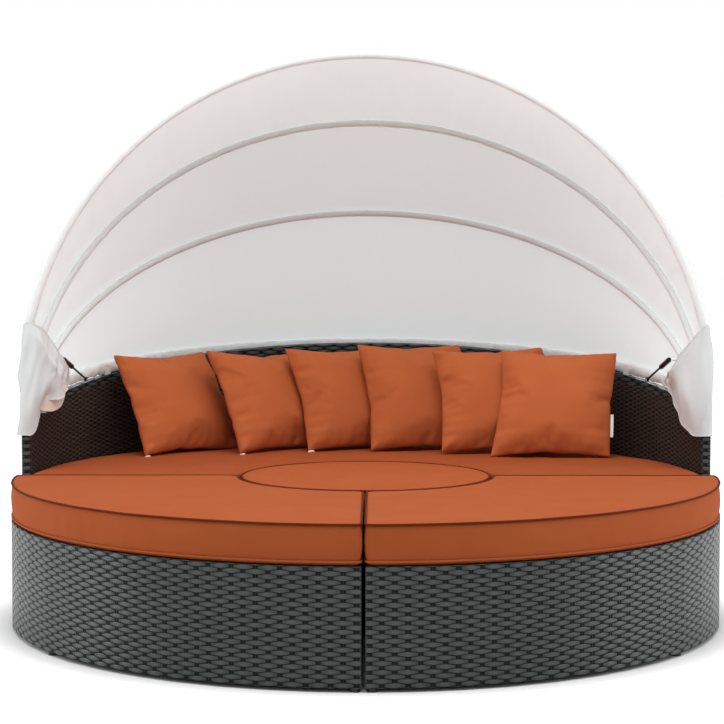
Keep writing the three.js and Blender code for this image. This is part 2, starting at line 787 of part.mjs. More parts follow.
const strutFootLeg = legAtReach(rearBow, strutFootReach);
const strutFoot = new THREE.Vector3(
  strutFootLeg.x - strutFootInset, strutFootLeg.y, strutFootLeg.z - strutFootDrop,
);
const strutHeadLeg = bowPoint(lowerBow, Math.sqrt(lowerBow.radius ** 2 - strutHeadRise ** 2), strutHeadRise);
const strutHeadX = strutHeadLeg.x - strutHeadInset;
const strutHead = new THREE.Vector3(strutHeadX, strutHeadLeg.y, strutHeadLeg.z);
const foldedLean = THREE.MathUtils.degToRad(rearBowLean - foldedBowAngle);
const strutHeadFolded = new THREE.Vector3(
  strutHeadX,
  pivotY + strutHeadRise * Math.sin(foldedLean),
  pivotHeight + strutHeadRise * Math.cos(foldedLean),
);
const strutDirection = new THREE.Vector3().subVectors(strutHead, strutFoot).normalize();
const strutFoldedDirection = new THREE.Vector3().subVectors(strutHeadFolded, strutFoot).normalize();
const strutAxis = new THREE.Vector3().crossVectors(strutDirection, strutFoldedDirection).normalize();
const strutLength = strutHead.distanceTo(strutFoot);
const strutTubeEnd = strutLength - strutEyeRadius / 2;

// Turns a piece made along +Y at the origin so that it lies along the strut from its foot
function alongStrut(geometry) {
  const side = new THREE.Vector3().crossVectors(strutDirection, strutAxis);
  const turn = new THREE.Matrix4().makeBasis(strutAxis, strutDirection, side.negate());
  return geometry.applyMatrix4(turn).translate(strutFoot.x, strutFoot.y, strutFoot.z);
}

function eye(place, holeRadius) {
  const ring = new THREE.CylinderGeometry(strutEyeRadius, strutEyeRadius, strutEyeThickness, roundSides);
  ring.rotateZ(Math.PI / 2).translate(0, place, 0);
  if (holeRadius === 0) return ring;
  const hole = new THREE.CylinderGeometry(holeRadius, holeRadius, strutEyeThickness + overrun, roundSides);
  return cutBy(ring, hole.rotateZ(Math.PI / 2).translate(0, place, 0));
}

function strutRod() {
  const pistonEnd = strutTubeStart + strutTubeCap + strutPistonDepth + strutPistonLength;
  const rod = new THREE.CylinderGeometry(
    strutRodRadius, strutRodRadius, pistonEnd - strutEyeRadius + strutTubeWall, roundSides,
  );
  rod.translate(0, (pistonEnd + strutEyeRadius - strutTubeWall) / 2, 0);
  const piston = new THREE.CylinderGeometry(strutPistonRadius, strutPistonRadius, strutPistonLength, roundSides);
  piston.translate(0, pistonEnd - strutPistonLength / 2, 0);
  return alongStrut(fused(eye(0, strutStudRadius + strutStudClearance), rod, piston));
}

function strutTube() {
  const bore = strutTubeRadius - strutTubeWall;
  const profile = [
    [strutRodGuide, strutTubeStart],
    [strutTubeRadius, strutTubeStart],
    [strutTubeRadius, strutTubeEnd],
    [0, strutTubeEnd],
    [0, strutTubeEnd - strutTubeCap],
    [bore, strutTubeEnd - strutTubeCap],
    [bore, strutTubeStart + strutTubeCap],
    [strutRodGuide, strutTubeStart + strutTubeCap],
    [strutRodGuide, strutTubeStart],
  ].map(([radius, place]) => new THREE.Vector2(radius, place));
  const tube = new THREE.LatheGeometry(profile, roundSides);
  return alongStrut(fused(tube, eye(strutLength, 0)));
}

const rod = strutRod();
const tube = strutTube();
addPiece('strut_rod_right', rod, strutMaterial);
addPiece('strut_rod_left', mirrored(rod), strutMaterial);
addPiece('strut_tube_right', tube, strutMaterial);
addPiece('strut_tube_left', mirrored(tube), strutMaterial);

// A stud on a bow's leg, and its twin on the other leg
function studPair(start, end, radius) {
  const stud = rodBetween(start, end, radius, tubeSides);
  return [stud, mirrored(stud)];
}

// The lower bow's studs end just short of the struts' eyes
const headStudEnd = new THREE.Vector3(strutHeadX + strutEyeThickness / 2 + strutHeadGap, strutHead.y, strutHead.z);
addPiece('lower_bow', bowTube(lowerBow, studPair(headStudEnd, strutHeadLeg, strutStudRadius)), bowMaterial);

// The rear bow's studs stand on lugs below its legs and pass through the rods' eyes
const lugBottom = new THREE.Vector3(strutFootLeg.x, strutFoot.y, strutFoot.z - strutStudRadius);
const footStudStart = strutFoot.clone().addScaledVector(strutAxis, -strutEyeThickness / 2 - touch);
const footStudEnd = strutFoot.clone().addScaledVector(strutAxis, strutFootInset / strutAxis.x);
addPiece('rear_bow', bowTube(rearBow, [
  ...studPair(lugBottom, strutFootLeg, strutLugRadius),
  ...studPair(footStudStart, footStudEnd, strutStudRadius),
]), bowMaterial);

// Brackets that hold the rear bow above the backrest's rim
function rearBowBracket() {
  const centre = legAtReach(rearBow, bracketReach);
  const turn = Math.atan2(centre.y, centre.x);
  const top = centre.z + tubeRadius + bracketCover;
  const footprint = [
    [-bracketInside, -1], [bracketOutside, -1], [bracketOutside, 1], [-bracketInside, 1],
  ];
  const corners = footprint.map(([out, along]) => {
    const point = new THREE.Vector2(out, along * bracketWidth / 2);
    return point.rotateAround(new THREE.Vector2(), turn).add(new THREE.Vector2(centre.x, centre.y));
  });
  const block = loft([
    corners.map((p) => new THREE.Vector3(p.x, p.y, topEdge(p.y) + touch)),
    corners.map((p) => new THREE.Vector3(p.x, p.y, top)),
  ]);
  return cutBy(block, sweptAlongBow(rearBow, tubeRadius + touch, tubeSides));
}
const bracket = rearBowBracket();
addPiece('rear_bow_bracket_right', bracket, frameMaterial);
addPiece('rear_bow_bracket_left', mirrored(bracket), frameMaterial);

// Pivot hubs: a forked plate on each arm and a pin through the feet of the four bows

const innerEarFace = rearBowRadius - rearBow.tuck - tubeRadius - hubEarGap;
const outerEarFace = frontBowRadius - frontBow.tuck + tubeRadius + hubEarGap;

function hub() {
  const back = pivotY + hubLength / 2;
  const front = pivotY - hubLength / 2;
  const seat = (y) => topEdge(y) + touch;
  const turned = (outline, start, width) => {
    const geometry = new THREE.ExtrudeGeometry(new THREE.Shape(outline), { depth: width, bevelEnabled: false });
    const turn = new THREE.Matrix4().makeBasis(
      new THREE.Vector3(0, 1, 0), new THREE.Vector3(0, 0, 1), new THREE.Vector3(1, 0, 0),
    );
    return geometry.applyMatrix4(turn).translate(start, 0, 0);
  };
  const plateOutline = [
    new THREE.Vector2(front, seat(front)),
    new THREE.Vector2(back, seat(back)),
    new THREE.Vector2(back, seat(back) + hubPlate),
    new THREE.Vector2(front, seat(front) + hubPlate),
  ];
  const earOutline = [
    new THREE.Vector2(front, seat(front)),
    new THREE.Vector2(back, seat(back)),
    ...arcPoints(hubEarRadius, 0, Math.PI, tubeSides).map((p) => p.add(new THREE.Vector2(pivotY, pivotHeight))),
  ];
  const plate = turned(plateOutline, innerEarFace - hubPlate, outerEarFace - innerEarFace + 2 * hubPlate);
  const innerEar = turned(earOutline, innerEarFace - hubPlate, hubPlate);
  const outerEar = turned(earOutline, outerEarFace, hubPlate);
  return cutBy(fused(plate, innerEar, outerEar), pivotHole);
}

function pivotPin() {
  const innerEnd = innerEarFace - hubPlate - touch;
  const outerEnd = outerEarFace + hubPlate + touch;
  const profile = [
    [0, innerEnd - pinHeadThickness],
    [pinHeadRadius, innerEnd - pinHeadThickness],
    [pinHeadRadius, innerEnd],
    [pinRadius, innerEnd],
    [pinRadius, outerEnd],
    [pinHeadRadius, outerEnd],
    [pinHeadRadius, outerEnd + pinHeadThickness],
    [0, outerEnd + pinHeadThickness],
  ].map(([radius, place]) => new THREE.Vector2(radius, place));
  const pin = new THREE.LatheGeometry(profile, roundSides);
  return pin.rotateZ(-Math.PI / 2).translate(0, pivotY, pivotHeight);
}

const rightHub = hub();
const rightPin = pivotPin();
addPiece('canopy_hub_right', rightHub, frameMaterial);
addPiece('canopy_hub_left', mirrored(rightHub), frameMaterial);
addPiece('pivot_pin_right', rightPin, frameMaterial);
addPiece('pivot_pin_left', mirrored(rightPin), frameMaterial);

// Canopy cloth: one panel from each bow to the next, stretched straight between them

function canopyPanel(fore, aft) {
  const startAngle = Math.asin(panelFootRise / fore.radius);
  const grid = [];
  const outward = [];
  for (let i = 0; i <= panelSteps; i += 1) {
    const angle = startAngle + (Math.PI - 2 * startAngle) * (i / panelSteps);
    const front = bowArcPoint(fore, angle, clothOffset);
    const back = bowArcPoint(aft, angle, clothOffset);
    const trim = panelJoint / front.distanceTo(back);
    const middle = new THREE.Vector3(0, pivotY, pivotHeight);
    const row = [];
    const rowOutward = [];
    for (let j = 0; j <= panelStrips; j += 1) {
      const share = trim + (1 - 2 * trim) * (j / panelStrips);
      const point = new THREE.Vector3().lerpVectors(front, back, share);
      row.push(point);
      rowOutward.push(new THREE.Vector3().subVectors(point, middle).normalize());
    }
    grid.push(row);
    outward.push(rowOutward);
  }
  return thickSheet(grid, outward, clothThickness);
}

addPiece('canopy_front_panel', canopyPanel(frontBow, upperBow), canopyMaterial);
addPiece('canopy_middle_panel', canopyPanel(upperBow, lowerBow), canopyMaterial);
addPiece('canopy_back_panel', canopyPanel(lowerBow, rearBow), canopyMaterial);

// Side flaps: the ends of the canopy wrap the hubs and hang in folds round the arm fronts

function lineThrough(offsets) {
  return new THREE.CatmullRomCurve3(offsets.map(([out, back, up]) => (
    new THREE.Vector3(baseRadius + out, pivotY + back, pivotHeight + up)
  )));
}

function sideFlap() {
  const [hem, waist, top] = [flapHem, flapWaist, flapTop].map(lineThrough);
  const grid = [];
  const outward = [];
  for (let i = 0; i <= flapSteps; i += 1) {
    const along = i / flapSteps;
    const column = new THREE.CatmullRomCurve3([hem, waist, top].map((line) => line.getPoint(along)));
    const tangent = waist.getTangent(along);
    const normal = new THREE.Vector3(-tangent.y, tangent.x, 0).normalize();
    const fold = flapFoldDepth * (1 + Math.sin(along * flapFoldCount * Math.PI * 2));
    const row = [];
    for (let j = 0; j <= flapLevels; j += 1) {
      const up = j / flapLevels;
      row.push(column.getPoint(up).addScaledVector(normal, fold * (1 - up) ** 2));
    }
    grid.push(row);
    outward.push(row.map(() => normal));
  }
  return thickSheet(grid, outward, clothThickness);
}
const flap = sideFlap();
addPiece('canopy_flap_right', flap, canopyMaterial);
addPiece('canopy_flap_left', mirrored(flap), canopyMaterial);

// The origin is on the floor, in the middle of the object's box
daybed.position.y = -new THREE.Box3().setFromObject(daybed).getCenter(new THREE.Vector3()).y;

export default daybed;
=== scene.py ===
# Round outdoor daybed with a folding canopy: looks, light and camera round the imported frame

import json
import math

import bpy
import numpy as np
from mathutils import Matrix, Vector, noise


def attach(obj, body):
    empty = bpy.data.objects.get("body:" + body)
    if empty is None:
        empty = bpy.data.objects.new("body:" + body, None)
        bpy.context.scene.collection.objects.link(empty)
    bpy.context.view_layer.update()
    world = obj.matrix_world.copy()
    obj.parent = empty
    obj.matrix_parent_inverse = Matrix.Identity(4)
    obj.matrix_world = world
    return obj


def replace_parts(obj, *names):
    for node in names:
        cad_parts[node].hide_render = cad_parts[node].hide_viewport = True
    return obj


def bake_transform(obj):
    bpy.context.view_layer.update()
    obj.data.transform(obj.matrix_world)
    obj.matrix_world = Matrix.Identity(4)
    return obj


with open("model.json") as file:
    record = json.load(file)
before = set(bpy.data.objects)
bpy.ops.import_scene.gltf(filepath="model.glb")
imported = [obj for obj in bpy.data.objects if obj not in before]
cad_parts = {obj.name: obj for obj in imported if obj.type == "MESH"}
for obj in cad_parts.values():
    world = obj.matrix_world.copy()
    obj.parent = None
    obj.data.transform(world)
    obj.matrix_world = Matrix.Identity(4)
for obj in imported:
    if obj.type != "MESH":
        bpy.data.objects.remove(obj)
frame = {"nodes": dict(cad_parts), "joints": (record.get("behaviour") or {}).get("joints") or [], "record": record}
nodes = frame["nodes"]
joints = {joint["name"]: joint for joint in frame["joints"]}
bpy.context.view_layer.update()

# The plan circle's centre, seen from the pack's origin, and the canopy's pivot line
pivot = np.array(joints["lower_bow_fold"]["pos_m"], float)
PIVOT_FROM_CENTRE = 0.131
centre = np.array([0.0, pivot[1] - PIVOT_FROM_CENTRE, 0.0])

# Bows, from the front to the rear: radius of the tube's middle line and lean back from upright
BOWS = {
    "front": {"radius": 1.147, "lean": math.radians(7.2), "body": "front_bow_unit"},
    "upper": {"radius": 1.123, "lean": math.radians(33.3), "body": "upper_bow_unit"},
    "lower": {"radius": 1.099, "lean": math.radians(55.8), "body": "lower_bow_unit"},
    "rear": {"radius": 1.075, "lean": math.radians(83.7), "body": "back_unit"},
}

# Meshes


def metres(millimetres):
    return np.array(millimetres) / 1000


def new_object(name, points, faces, material):
    mesh = bpy.data.meshes.new(name)
    mesh.from_pydata([tuple(map(float, p)) for p in points], [], faces)
    mesh.update()
    for polygon in mesh.polygons:
        polygon.use_smooth = True
    mesh.materials.append(material)
    made = bpy.data.objects.new(name, mesh)
    bpy.context.scene.collection.objects.link(made)
    return made


def grid_faces(rows, columns, close_rows=False, close_columns=False):
    faces = []
    for i in range(rows if close_rows else rows - 1):
        for j in range(columns if close_columns else columns - 1):
            k, m = (i + 1) % rows, (j + 1) % columns
            faces.append((i * columns + j, k * columns + j, k * columns + m, i * columns + m))
    return faces


def grid_object(name, grid, material, close_rows=False, close_columns=False):
    rows, columns = grid.shape[:2]
    faces = grid_faces(rows, columns, close_rows, close_columns)
    return new_object(name, grid.reshape(-1, 3), faces, material)


# Each seed reads the noise from another place, this far on
NOISE_STEP = (17.3, 5.1, 9.7)


def soft_noise(points, scale, seed):
    """Smooth noise from -1 to 1 at each point, with bumps about 1 / scale metres wide."""
    offset = Vector([seed * step for step in NOISE_STEP])
    flat = points.reshape(-1, 3)
    values = [noise.noise(Vector(p) * scale + offset) for p in flat]
    return np.array(values).reshape(points.shape[:-1])


def tube_grid(path, frames, radius, sides):
    """Rings of points round a path; frames hold two directions across it at each point."""
    angles = np.arange(sides) / sides * 2 * math.pi
    first, second = frames
    ring = (
        np.cos(angles)[None, :, None] * first[:, None, :]
        + np.sin(angles)[None, :, None] * second[:, None, :]
    )
    return path[:, None, :] + ring * radius


def path_frames(path):
    """Two directions across an open path in space."""
    ahead = np.gradient(path, axis=0)
    ahead /= np.linalg.norm(ahead, axis=1)[:, None]
    first = np.cross(ahead, [0.0, 0.0, 1.0])
    first /= np.maximum(np.linalg.norm(first, axis=1), 1e-6)[:, None]
    return first, np.cross(ahead, first)


def loop_frames(path):
    """Outward and upward directions along a closed level path."""
    ahead = np.roll(path, -1, axis=0) - np.roll(path, 1, axis=0)
    ahead[:, 2] = 0
    ahead /= np.linalg.norm(ahead, axis=1)[:, None]
    outward = np.stack([ahead[:, 1], -ahead[:, 0], np.zeros(len(path))], axis=1)
    upward = np.tile([0.0, 0.0, 1.0], (len(path), 1))
    return outward, upward


# Materials


def new_material(name):
    material = bpy.data.materials.new(name)
    material.use_nodes = True
    tree = material.node_tree
    shader = tree.nodes["Principled BSDF"]
    return material, tree, shader


def fill_sockets(tree, sockets, values):
    """Sets each socket to its number or tuple, or links it to another node's output."""
    for socket, value in zip(sockets, values):
        if isinstance(value, (int, float, tuple)):
            socket.default_value = value
        else:
            tree.links.new(value, socket)


def new_node(tree, kind, *values):
    """A new node whose first sockets hold the values, in order."""
    node = tree.nodes.new("ShaderNode" + kind)
    fill_sockets(tree, node.inputs, values)
    return node


def math_node(tree, operation, *values):
    node = tree.nodes.new("ShaderNodeMath")
    node.operation = operation
    fill_sockets(tree, node.inputs, values)
    return node.outputs[0]


def times(tree, first, second):
    return math_node(tree, "MULTIPLY", first, second)


def vector_node(tree, operation, *values):
    node = tree.nodes.new("ShaderNodeVectorMath")
    node.operation = operation
    fill_sockets(tree, node.inputs, values)
    return node


def mix_colours(tree, factor, first, second):
    node = tree.nodes.new("ShaderNodeMix")
    node.data_type = "RGBA"
    tree.links.new(factor, node.inputs["Factor"])
    colours = [(*colour, 1) if isinstance(colour, tuple) else colour for colour in (first, second)]
    fill_sockets(tree, (node.inputs["A"], node.inputs["B"]), colours)
    return node.outputs["Result"]


def noise_node(tree, coordinates, scale, detail=2.0):
    node = tree.nodes.new("ShaderNodeTexNoise")
    node.inputs["Scale"].default_value = scale
    node.inputs["Detail"].default_value = detail
    tree.links.new(coordinates, node.inputs["Vector"])
    return node.outputs["Fac"]


def smooth_share(tree, value, low, high):
    """Rises smoothly from 0 to 1 between the two values."""
    node = tree.nodes.new("ShaderNodeMapRange")
    node.interpolation_type = "SMOOTHSTEP"
    node.inputs["From Min"].default_value = low
    node.inputs["From Max"].default_value = high
    tree.links.new(value, node.inputs["Value"])
    return node.outputs["Result"]


def choose(tree, share, first, second):
    """The first value where share is 0 and the second where it is 1."""
    node = tree.nodes.new("ShaderNodeMix")
    sockets = [node.inputs[name] for name in ("Factor", "A", "B")]
    fill_sockets(tree, sockets, (share, first, second))
    return node.outputs["Result"]


def fine_bump(tree, shader, height, strength, distance):
    bump = tree.nodes.new("ShaderNodeBump")
    bump.inputs["Strength"].default_value = strength
    bump.inputs["Distance"].default_value = distance
    tree.links.new(height, bump.inputs["Height"])
    tree.links.new(bump.outputs["Normal"], shader.inputs["Normal"])
    return bump


PAINT_MOTTLE_SCALE = 14.0
PAINT_MOTTLE_DETAIL = 3.0
PAINT_GRAIN_SCALE = 420.0
PAINT_GRAIN_STRENGTH = 0.25
PAINT_GRAIN_DEPTH = 0.0003
SHEEN_SPREAD = 0.16


def plain_material(name, colour, shade, roughness, metallic):
    """A coated, moulded or painted surface with faint mottling and an uneven sheen."""
    material, tree, shader = new_material(name)
    place = tree.nodes.new("ShaderNodeTexCoord").outputs["Object"]
    mottle = noise_node(tree, place, PAINT_MOTTLE_SCALE, PAINT_MOTTLE_DETAIL)
    tree.links.new(mix_colours(tree, mottle, shade, colour), shader.inputs["Base Color"])
    grain = noise_node(tree, place, PAINT_GRAIN_SCALE)
    uneven_sheen = math_node(tree, "MULTIPLY_ADD", grain, SHEEN_SPREAD, roughness - SHEEN_SPREAD / 2)
    tree.links.new(uneven_sheen, shader.inputs["Roughness"])
    fine_bump(tree, shader, grain, PAINT_GRAIN_STRENGTH, PAINT_GRAIN_DEPTH)
    shader.inputs["Metallic"].default_value = metallic
    return material


# Each weave's strand height and the pitch of its stakes
OUTER_WEAVE = (0.0123, 0.035)
INNER_WEAVE = (0.0078, 0.022)
# The arms' front faces have a stake up their middle, this far from the plan circle's centre
ARM_END_MIDDLE = 1.13
# How squarely a face looks out, up or along before it counts as a curved wall, a top or an end
WALL_FACING = 0.9
TOP_FACING = 0.6
END_FACING = 0.4
# How much taller than its row a bar is over its stake, and how much its back is arched
BAR_SWELL = 0.16
BAR_ARCH = 0.2
EDGE_POWER = 5.0
# From a row's crossing, 0, to its stake, 1: where a bar rises, and where a strand passes under
BAR_RISES = (0.12, 0.3)
UNDER_RISES = (0.9, 0.99)
# Heights as shares of a bar's height
UNDER_SHARE = 0.3
HOLE_SHARE = 0.08
GROOVE_SHARE = 0.04
STRAND_GROOVES = 4
BUMP_SHARE = 0.36
# Share of the painted highlight on the bars' backs, then of each bar's own tone and of the grain
BACK_HIGHLIGHT_SHARE = 0.62
BAR_TONE_SHARE = 0.2
GRAIN_SHARE = 0.24
# How quickly the painted shade in the holes gives way to the strand's colour
HOLE_SHADE_POWER = 0.6
HOLE_GLEAM = 0.08
GRAIN_STRETCH = 0.15
GRAIN_SCALE = 900.0


def wrapped_place(tree):
    """A point's place along the rows and up them, its height, and the round wall's normal."""
    place = tree.nodes.new("ShaderNodeNewGeometry")
    from_centre = vector_node(tree, "SUBTRACT", place.outputs["Position"], tuple(centre)).outputs[0]
    x, y, z = new_node(tree, "SeparateXYZ", from_centre).outputs
    flat = vector_node(tree, "MULTIPLY", from_centre, (1.0, 1.0, 0.0)).outputs[0]
    radial = vector_node(tree, "NORMALIZE", flat).outputs[0]
    radius = vector_node(tree, "LENGTH", flat).outputs["Value"]
    angle = math_node(tree, "ARCTAN2", y, x)
    # A curved wall shades as one round surface, whose facets don't show
    facing = vector_node(tree, "DOT_PRODUCT", place.outputs["Normal"], radial).outputs["Value"]
    facing_size = math_node(tree, "ABSOLUTE", facing)
    round_normal = vector_node(tree, "SCALE", radial)
    tree.links.new(math_node(tree, "SIGN", facing), round_normal.inputs["Scale"])
    normal = tree.nodes.new("ShaderNodeMix")
    normal.data_type = "VECTOR"
    tree.links.new(math_node(tree, "GREATER_THAN", facing_size, WALL_FACING), normal.inputs["Factor"])
    tree.links.new(place.outputs["Normal"], normal.inputs["A"])
    tree.links.new(round_normal.outputs[0], normal.inputs["B"])
    # Rows run level on walls and in rings on top faces; end faces count their stakes outwards
    normal_split = new_node(tree, "SeparateXYZ", place.outputs["Normal"])
    upward = math_node(tree, "ABSOLUTE", normal_split.outputs[2])
    on_top = math_node(tree, "GREATER_THAN", upward, TOP_FACING)
    rise = choose(tree, on_top, z, radius)
    sideways = math_node(tree, "LESS_THAN", facing_size, END_FACING)
    on_end = times(tree, sideways, math_node(tree, "SUBTRACT", 1.0, on_top))
    from_arm = math_node(tree, "SUBTRACT", radius, ARM_END_MIDDLE)
    around = choose(tree, on_end, times(tree, angle, radius), from_arm)
    return around, rise, z, normal.outputs["Result"]


def woven_strands(tree, around, rise, weave):
    """How high the strands stand, the place up each strand, and the numbers of its row and stake."""
    strand_height, stake_pitch = weave
    row_place = math_node(tree, "DIVIDE", rise, strand_height)
    row = math_node(tree, "FLOOR", row_place)
    up_strand = math_node(tree, "SUBTRACT", row_place, row)
    # Alternate rows are staggered by one stake
    stake_place = math_node(tree, "ADD", math_node(tree, "DIVIDE", around, stake_pitch), row)
    over = math_node(tree, "COSINE", times(tree, stake_place, math.pi))
    # A bar over its stake stands taller than its row, and its neighbours above and below pass under
    from_middle = math_node(tree, "ABSOLUTE", math_node(tree, "SUBTRACT", up_strand, 0.5))
    bar_half = math_node(tree, "MULTIPLY_ADD", over, BAR_SWELL, 0.5)
    beyond = math_node(tree, "GREATER_THAN", from_middle, bar_half)
    over = times(tree, over, math_node(tree, "MULTIPLY_ADD", beyond, -2.0, 1.0))
    from_middle = choose(tree, beyond, from_middle, math_node(tree, "SUBTRACT", 1.0, from_middle))
    half_height = math_node(tree, "MULTIPLY_ADD", over, BAR_SWELL, 0.5)
    edge_share = math_node(tree, "DIVIDE", from_middle, half_height)
    strand = math_node(tree, "SUBTRACT", 1.0, math_node(tree, "POWER", edge_share, EDGE_POWER))
    from_stake = math_node(tree, "DIVIDE", math_node(tree, "ARCCOSINE", over), math.pi)
    bar = smooth_share(tree, math_node(tree, "SUBTRACT", 1.0, from_stake), *BAR_RISES)
    under = smooth_share(tree, from_stake, *UNDER_RISES)
    lift = math_node(tree, "ADD", math_node(tree, "MULTIPLY_ADD", under, UNDER_SHARE, bar), HOLE_SHARE)
    arch = math_node(tree, "MULTIPLY_ADD", over, BAR_ARCH, 1 - BAR_ARCH)
    body = times(tree, times(tree, strand, lift), arch)
    stake = math_node(tree, "FLOOR", times(tree, stake_place, 0.5))
    return body, up_strand, row, stake


def strand_highlight_and_grain(tree, around, z, body, row, stake):
    """Painted highlight on the strands' backs, with fine grain and a tone of its own for each bar."""
    grain_place = new_node(tree, "CombineXYZ", times(tree, around, GRAIN_STRETCH), 0.0, z)
    grain = noise_node(tree, grain_place.outputs[0], GRAIN_SCALE)
    bar_number = new_node(tree, "CombineXYZ", row, stake)
    bar_tone = tree.nodes.new("ShaderNodeTexWhiteNoise")
    bar_tone.noise_dimensions = "2D"
    tree.links.new(bar_number.outputs[0], bar_tone.inputs["Vector"])
    own_tone = times(tree, bar_tone.outputs["Value"], BAR_TONE_SHARE)
    varied = math_node(tree, "MULTIPLY_ADD", grain, GRAIN_SHARE, own_tone)
    painted_highlight = times(tree, math_node(tree, "POWER", body, 2.0), BACK_HIGHLIGHT_SHARE)
    return math_node(tree, "ADD", painted_highlight, varied)


def weave_material(name, dark, light, hole_shade, roughness, specular, weave):
    """Flat resin strands woven round upright stakes, wrapped round the daybed's circle."""
    material, tree, shader = new_material(name)
    around, rise, z, normal = wrapped_place(tree)
    body, up_strand, row, stake = woven_strands(tree, around, rise, weave)
    groove_turn = times(tree, up_strand, STRAND_GROOVES * 2 * math.pi)
    grooves = times(tree, math_node(tree, "COSINE", groove_turn), body)
    height = math_node(tree, "MULTIPLY_ADD", grooves, GROOVE_SHARE, body)
    # The strands' colour, from dark to light, carries a painted highlight on the bars' backs as well as their
    # grain and tones
    strand_colour = mix_colours(tree, strand_highlight_and_grain(tree, around, z, body, row, stake), dark, light)
    # Painted shade darkens the holes between the strands and the strands passing under
    clear_of_hole_shade = math_node(tree, "POWER", height, HOLE_SHADE_POWER)
    tree.links.new(mix_colours(tree, clear_of_hole_shade, hole_shade, strand_colour), shader.inputs["Base Color"])
    bump = fine_bump(tree, shader, height, 1.0, BUMP_SHARE * weave[0])
    tree.links.new(normal, bump.inputs["Normal"])
    shader.inputs["Roughness"].default_value = roughness
    # No gleam comes out of the holes between the strands
    on_strands = math_node(tree, "MULTIPLY_ADD", body, 1 - HOLE_GLEAM, HOLE_GLEAM)
    gleam = times(tree, on_strands, specular)
    tree.links.new(gleam, shader.inputs["Specular IOR Level"])
    return material


CLOTH_MOTTLE_SCALE = 9.0
THREAD_SCALE = 900.0
THREAD_STRENGTH = 0.35
CLOTH_ROUGHNESS = 0.85


def cloth_material(name, colour, shade, thread_depth, specular, see_through):
    """Woven cloth, faintly mottled; see_through is how much of the light comes through it."""
    material, tree, shader = new_material(name)
    place = tree.nodes.new("ShaderNodeTexCoord").outputs["Object"]
    mottle = noise_node(tree, place, CLOTH_MOTTLE_SCALE)
    tree.links.new(mix_colours(tree, mottle, shade, colour), shader.inputs["Base Color"])
    threads = noise_node(tree, place, THREAD_SCALE)
    fine_bump(tree, shader, threads, THREAD_STRENGTH, thread_depth)
    shader.inputs["Roughness"].default_value = CLOTH_ROUGHNESS
    shader.inputs["Specular IOR Level"].default_value = specular
    if see_through:
        glow = new_node(tree, "BsdfTranslucent", (*colour, 1))
        mix = new_node(tree, "MixShader", see_through, shader.outputs[0], glow.outputs[0])
        tree.links.new(mix.outputs[0], tree.nodes["Material Output"].inputs["Surface"])
    return material


# Each weave: a strand's dark colour, its light colour with the painted highlight, the painted shade in the gaps,
# roughness, gleam and its strands' size
WEAVES = {
    "wicker": (
        (0.011, 0.0122, 0.0124), (0.05, 0.056, 0.056), (0.002, 0.0026, 0.0026), 0.38, 0.38, OUTER_WEAVE,
    ),
    "dark_wicker": (
        (0.014, 0.0092, 0.0072), (0.062, 0.041, 0.032), (0.004, 0.0028, 0.0022), 0.45, 0.3, INNER_WEAVE,
    ),
}
# Each plain surface: colour, shade between its mottles, roughness and how metallic it is
PLAIN_SURFACES = {
    "frame": ((0.023, 0.023, 0.023), (0.017, 0.017, 0.017), 0.42, 0.3),
    "glide": ((0.009, 0.009, 0.009), (0.006, 0.006, 0.006), 0.6, 0.0),
    "bow": ((0.86, 0.86, 0.85), (0.81, 0.81, 0.8), 0.4, 0.05),
    "strut": ((0.009, 0.009, 0.009), (0.006, 0.006, 0.006), 0.28, 0.3),
}
# Each cloth: colour, shade between its mottles, depth of its threads, gleam and see-through
CLOTHS = {
    "cushion": ((0.475, 0.12, 0.038), (0.435, 0.102, 0.031), 0.0006, 0.16, 0.0),
    "seat_cloth": ((0.38, 0.087, 0.0235), (0.335, 0.072, 0.019), 0.0006, 0.12, 0.0),
    # The back cushion's cover is the seat cloth darkened: painted shade of the canopy over it
    "back_seat_cloth": ((0.335, 0.07, 0.019), (0.3, 0.06, 0.016), 0.0006, 0.12, 0.0),
    # The top piping's cloth is the cover colour darkened: painted shade of the crease beside the piping
    "piping_cloth": ((0.12, 0.022, 0.007), (0.1, 0.018, 0.006), 0.0006, 0.06, 0.0),
    "canopy_cloth": ((0.785, 0.812, 0.812), (0.77, 0.797, 0.797), 0.0004, 0.1, 0.35),
    # The sleeves are the canopy cloth painted lighter: painted light on the bows' sleeves
    "sleeve_cloth": ((0.88, 0.895, 0.895), (0.86, 0.875, 0.875), 0.0004, 0.1, 0.2),
    # The flaps are the canopy cloth painted darker: painted shade over the side flaps
    "flap_cloth": ((0.635, 0.65, 0.652), (0.595, 0.61, 0.612), 0.0004, 0.1, 0.05),
    # The pocket lining is pale cloth painted peach: painted orange light bounced from the cushions
    "lining_cloth": ((0.82, 0.72, 0.65), (0.8, 0.69, 0.62), 0.0004, 0.1, 0.2),
    "tag_cloth": ((0.82, 0.81, 0.79), (0.8, 0.79, 0.77), 0.0003, 0.1, 0.0),
}
materials = {}
for make, looks in ((weave_material, WEAVES), (plain_material, PLAIN_SURFACES), (cloth_material, CLOTHS)):
    for name, look in looks.items():
        materials[name] = make(name, *look)

for part in frame["record"]["subparts"]:
    mesh = nodes[part["node"]].data
    mesh.materials.clear()
    painted_white = part["node"].startswith("rear_bow_bracket")
    mesh.materials.append(materials["bow" if painted_white else part["material_slot"]])

# Canopy: cloth sleeves round the bows and a panel from each bow to the next

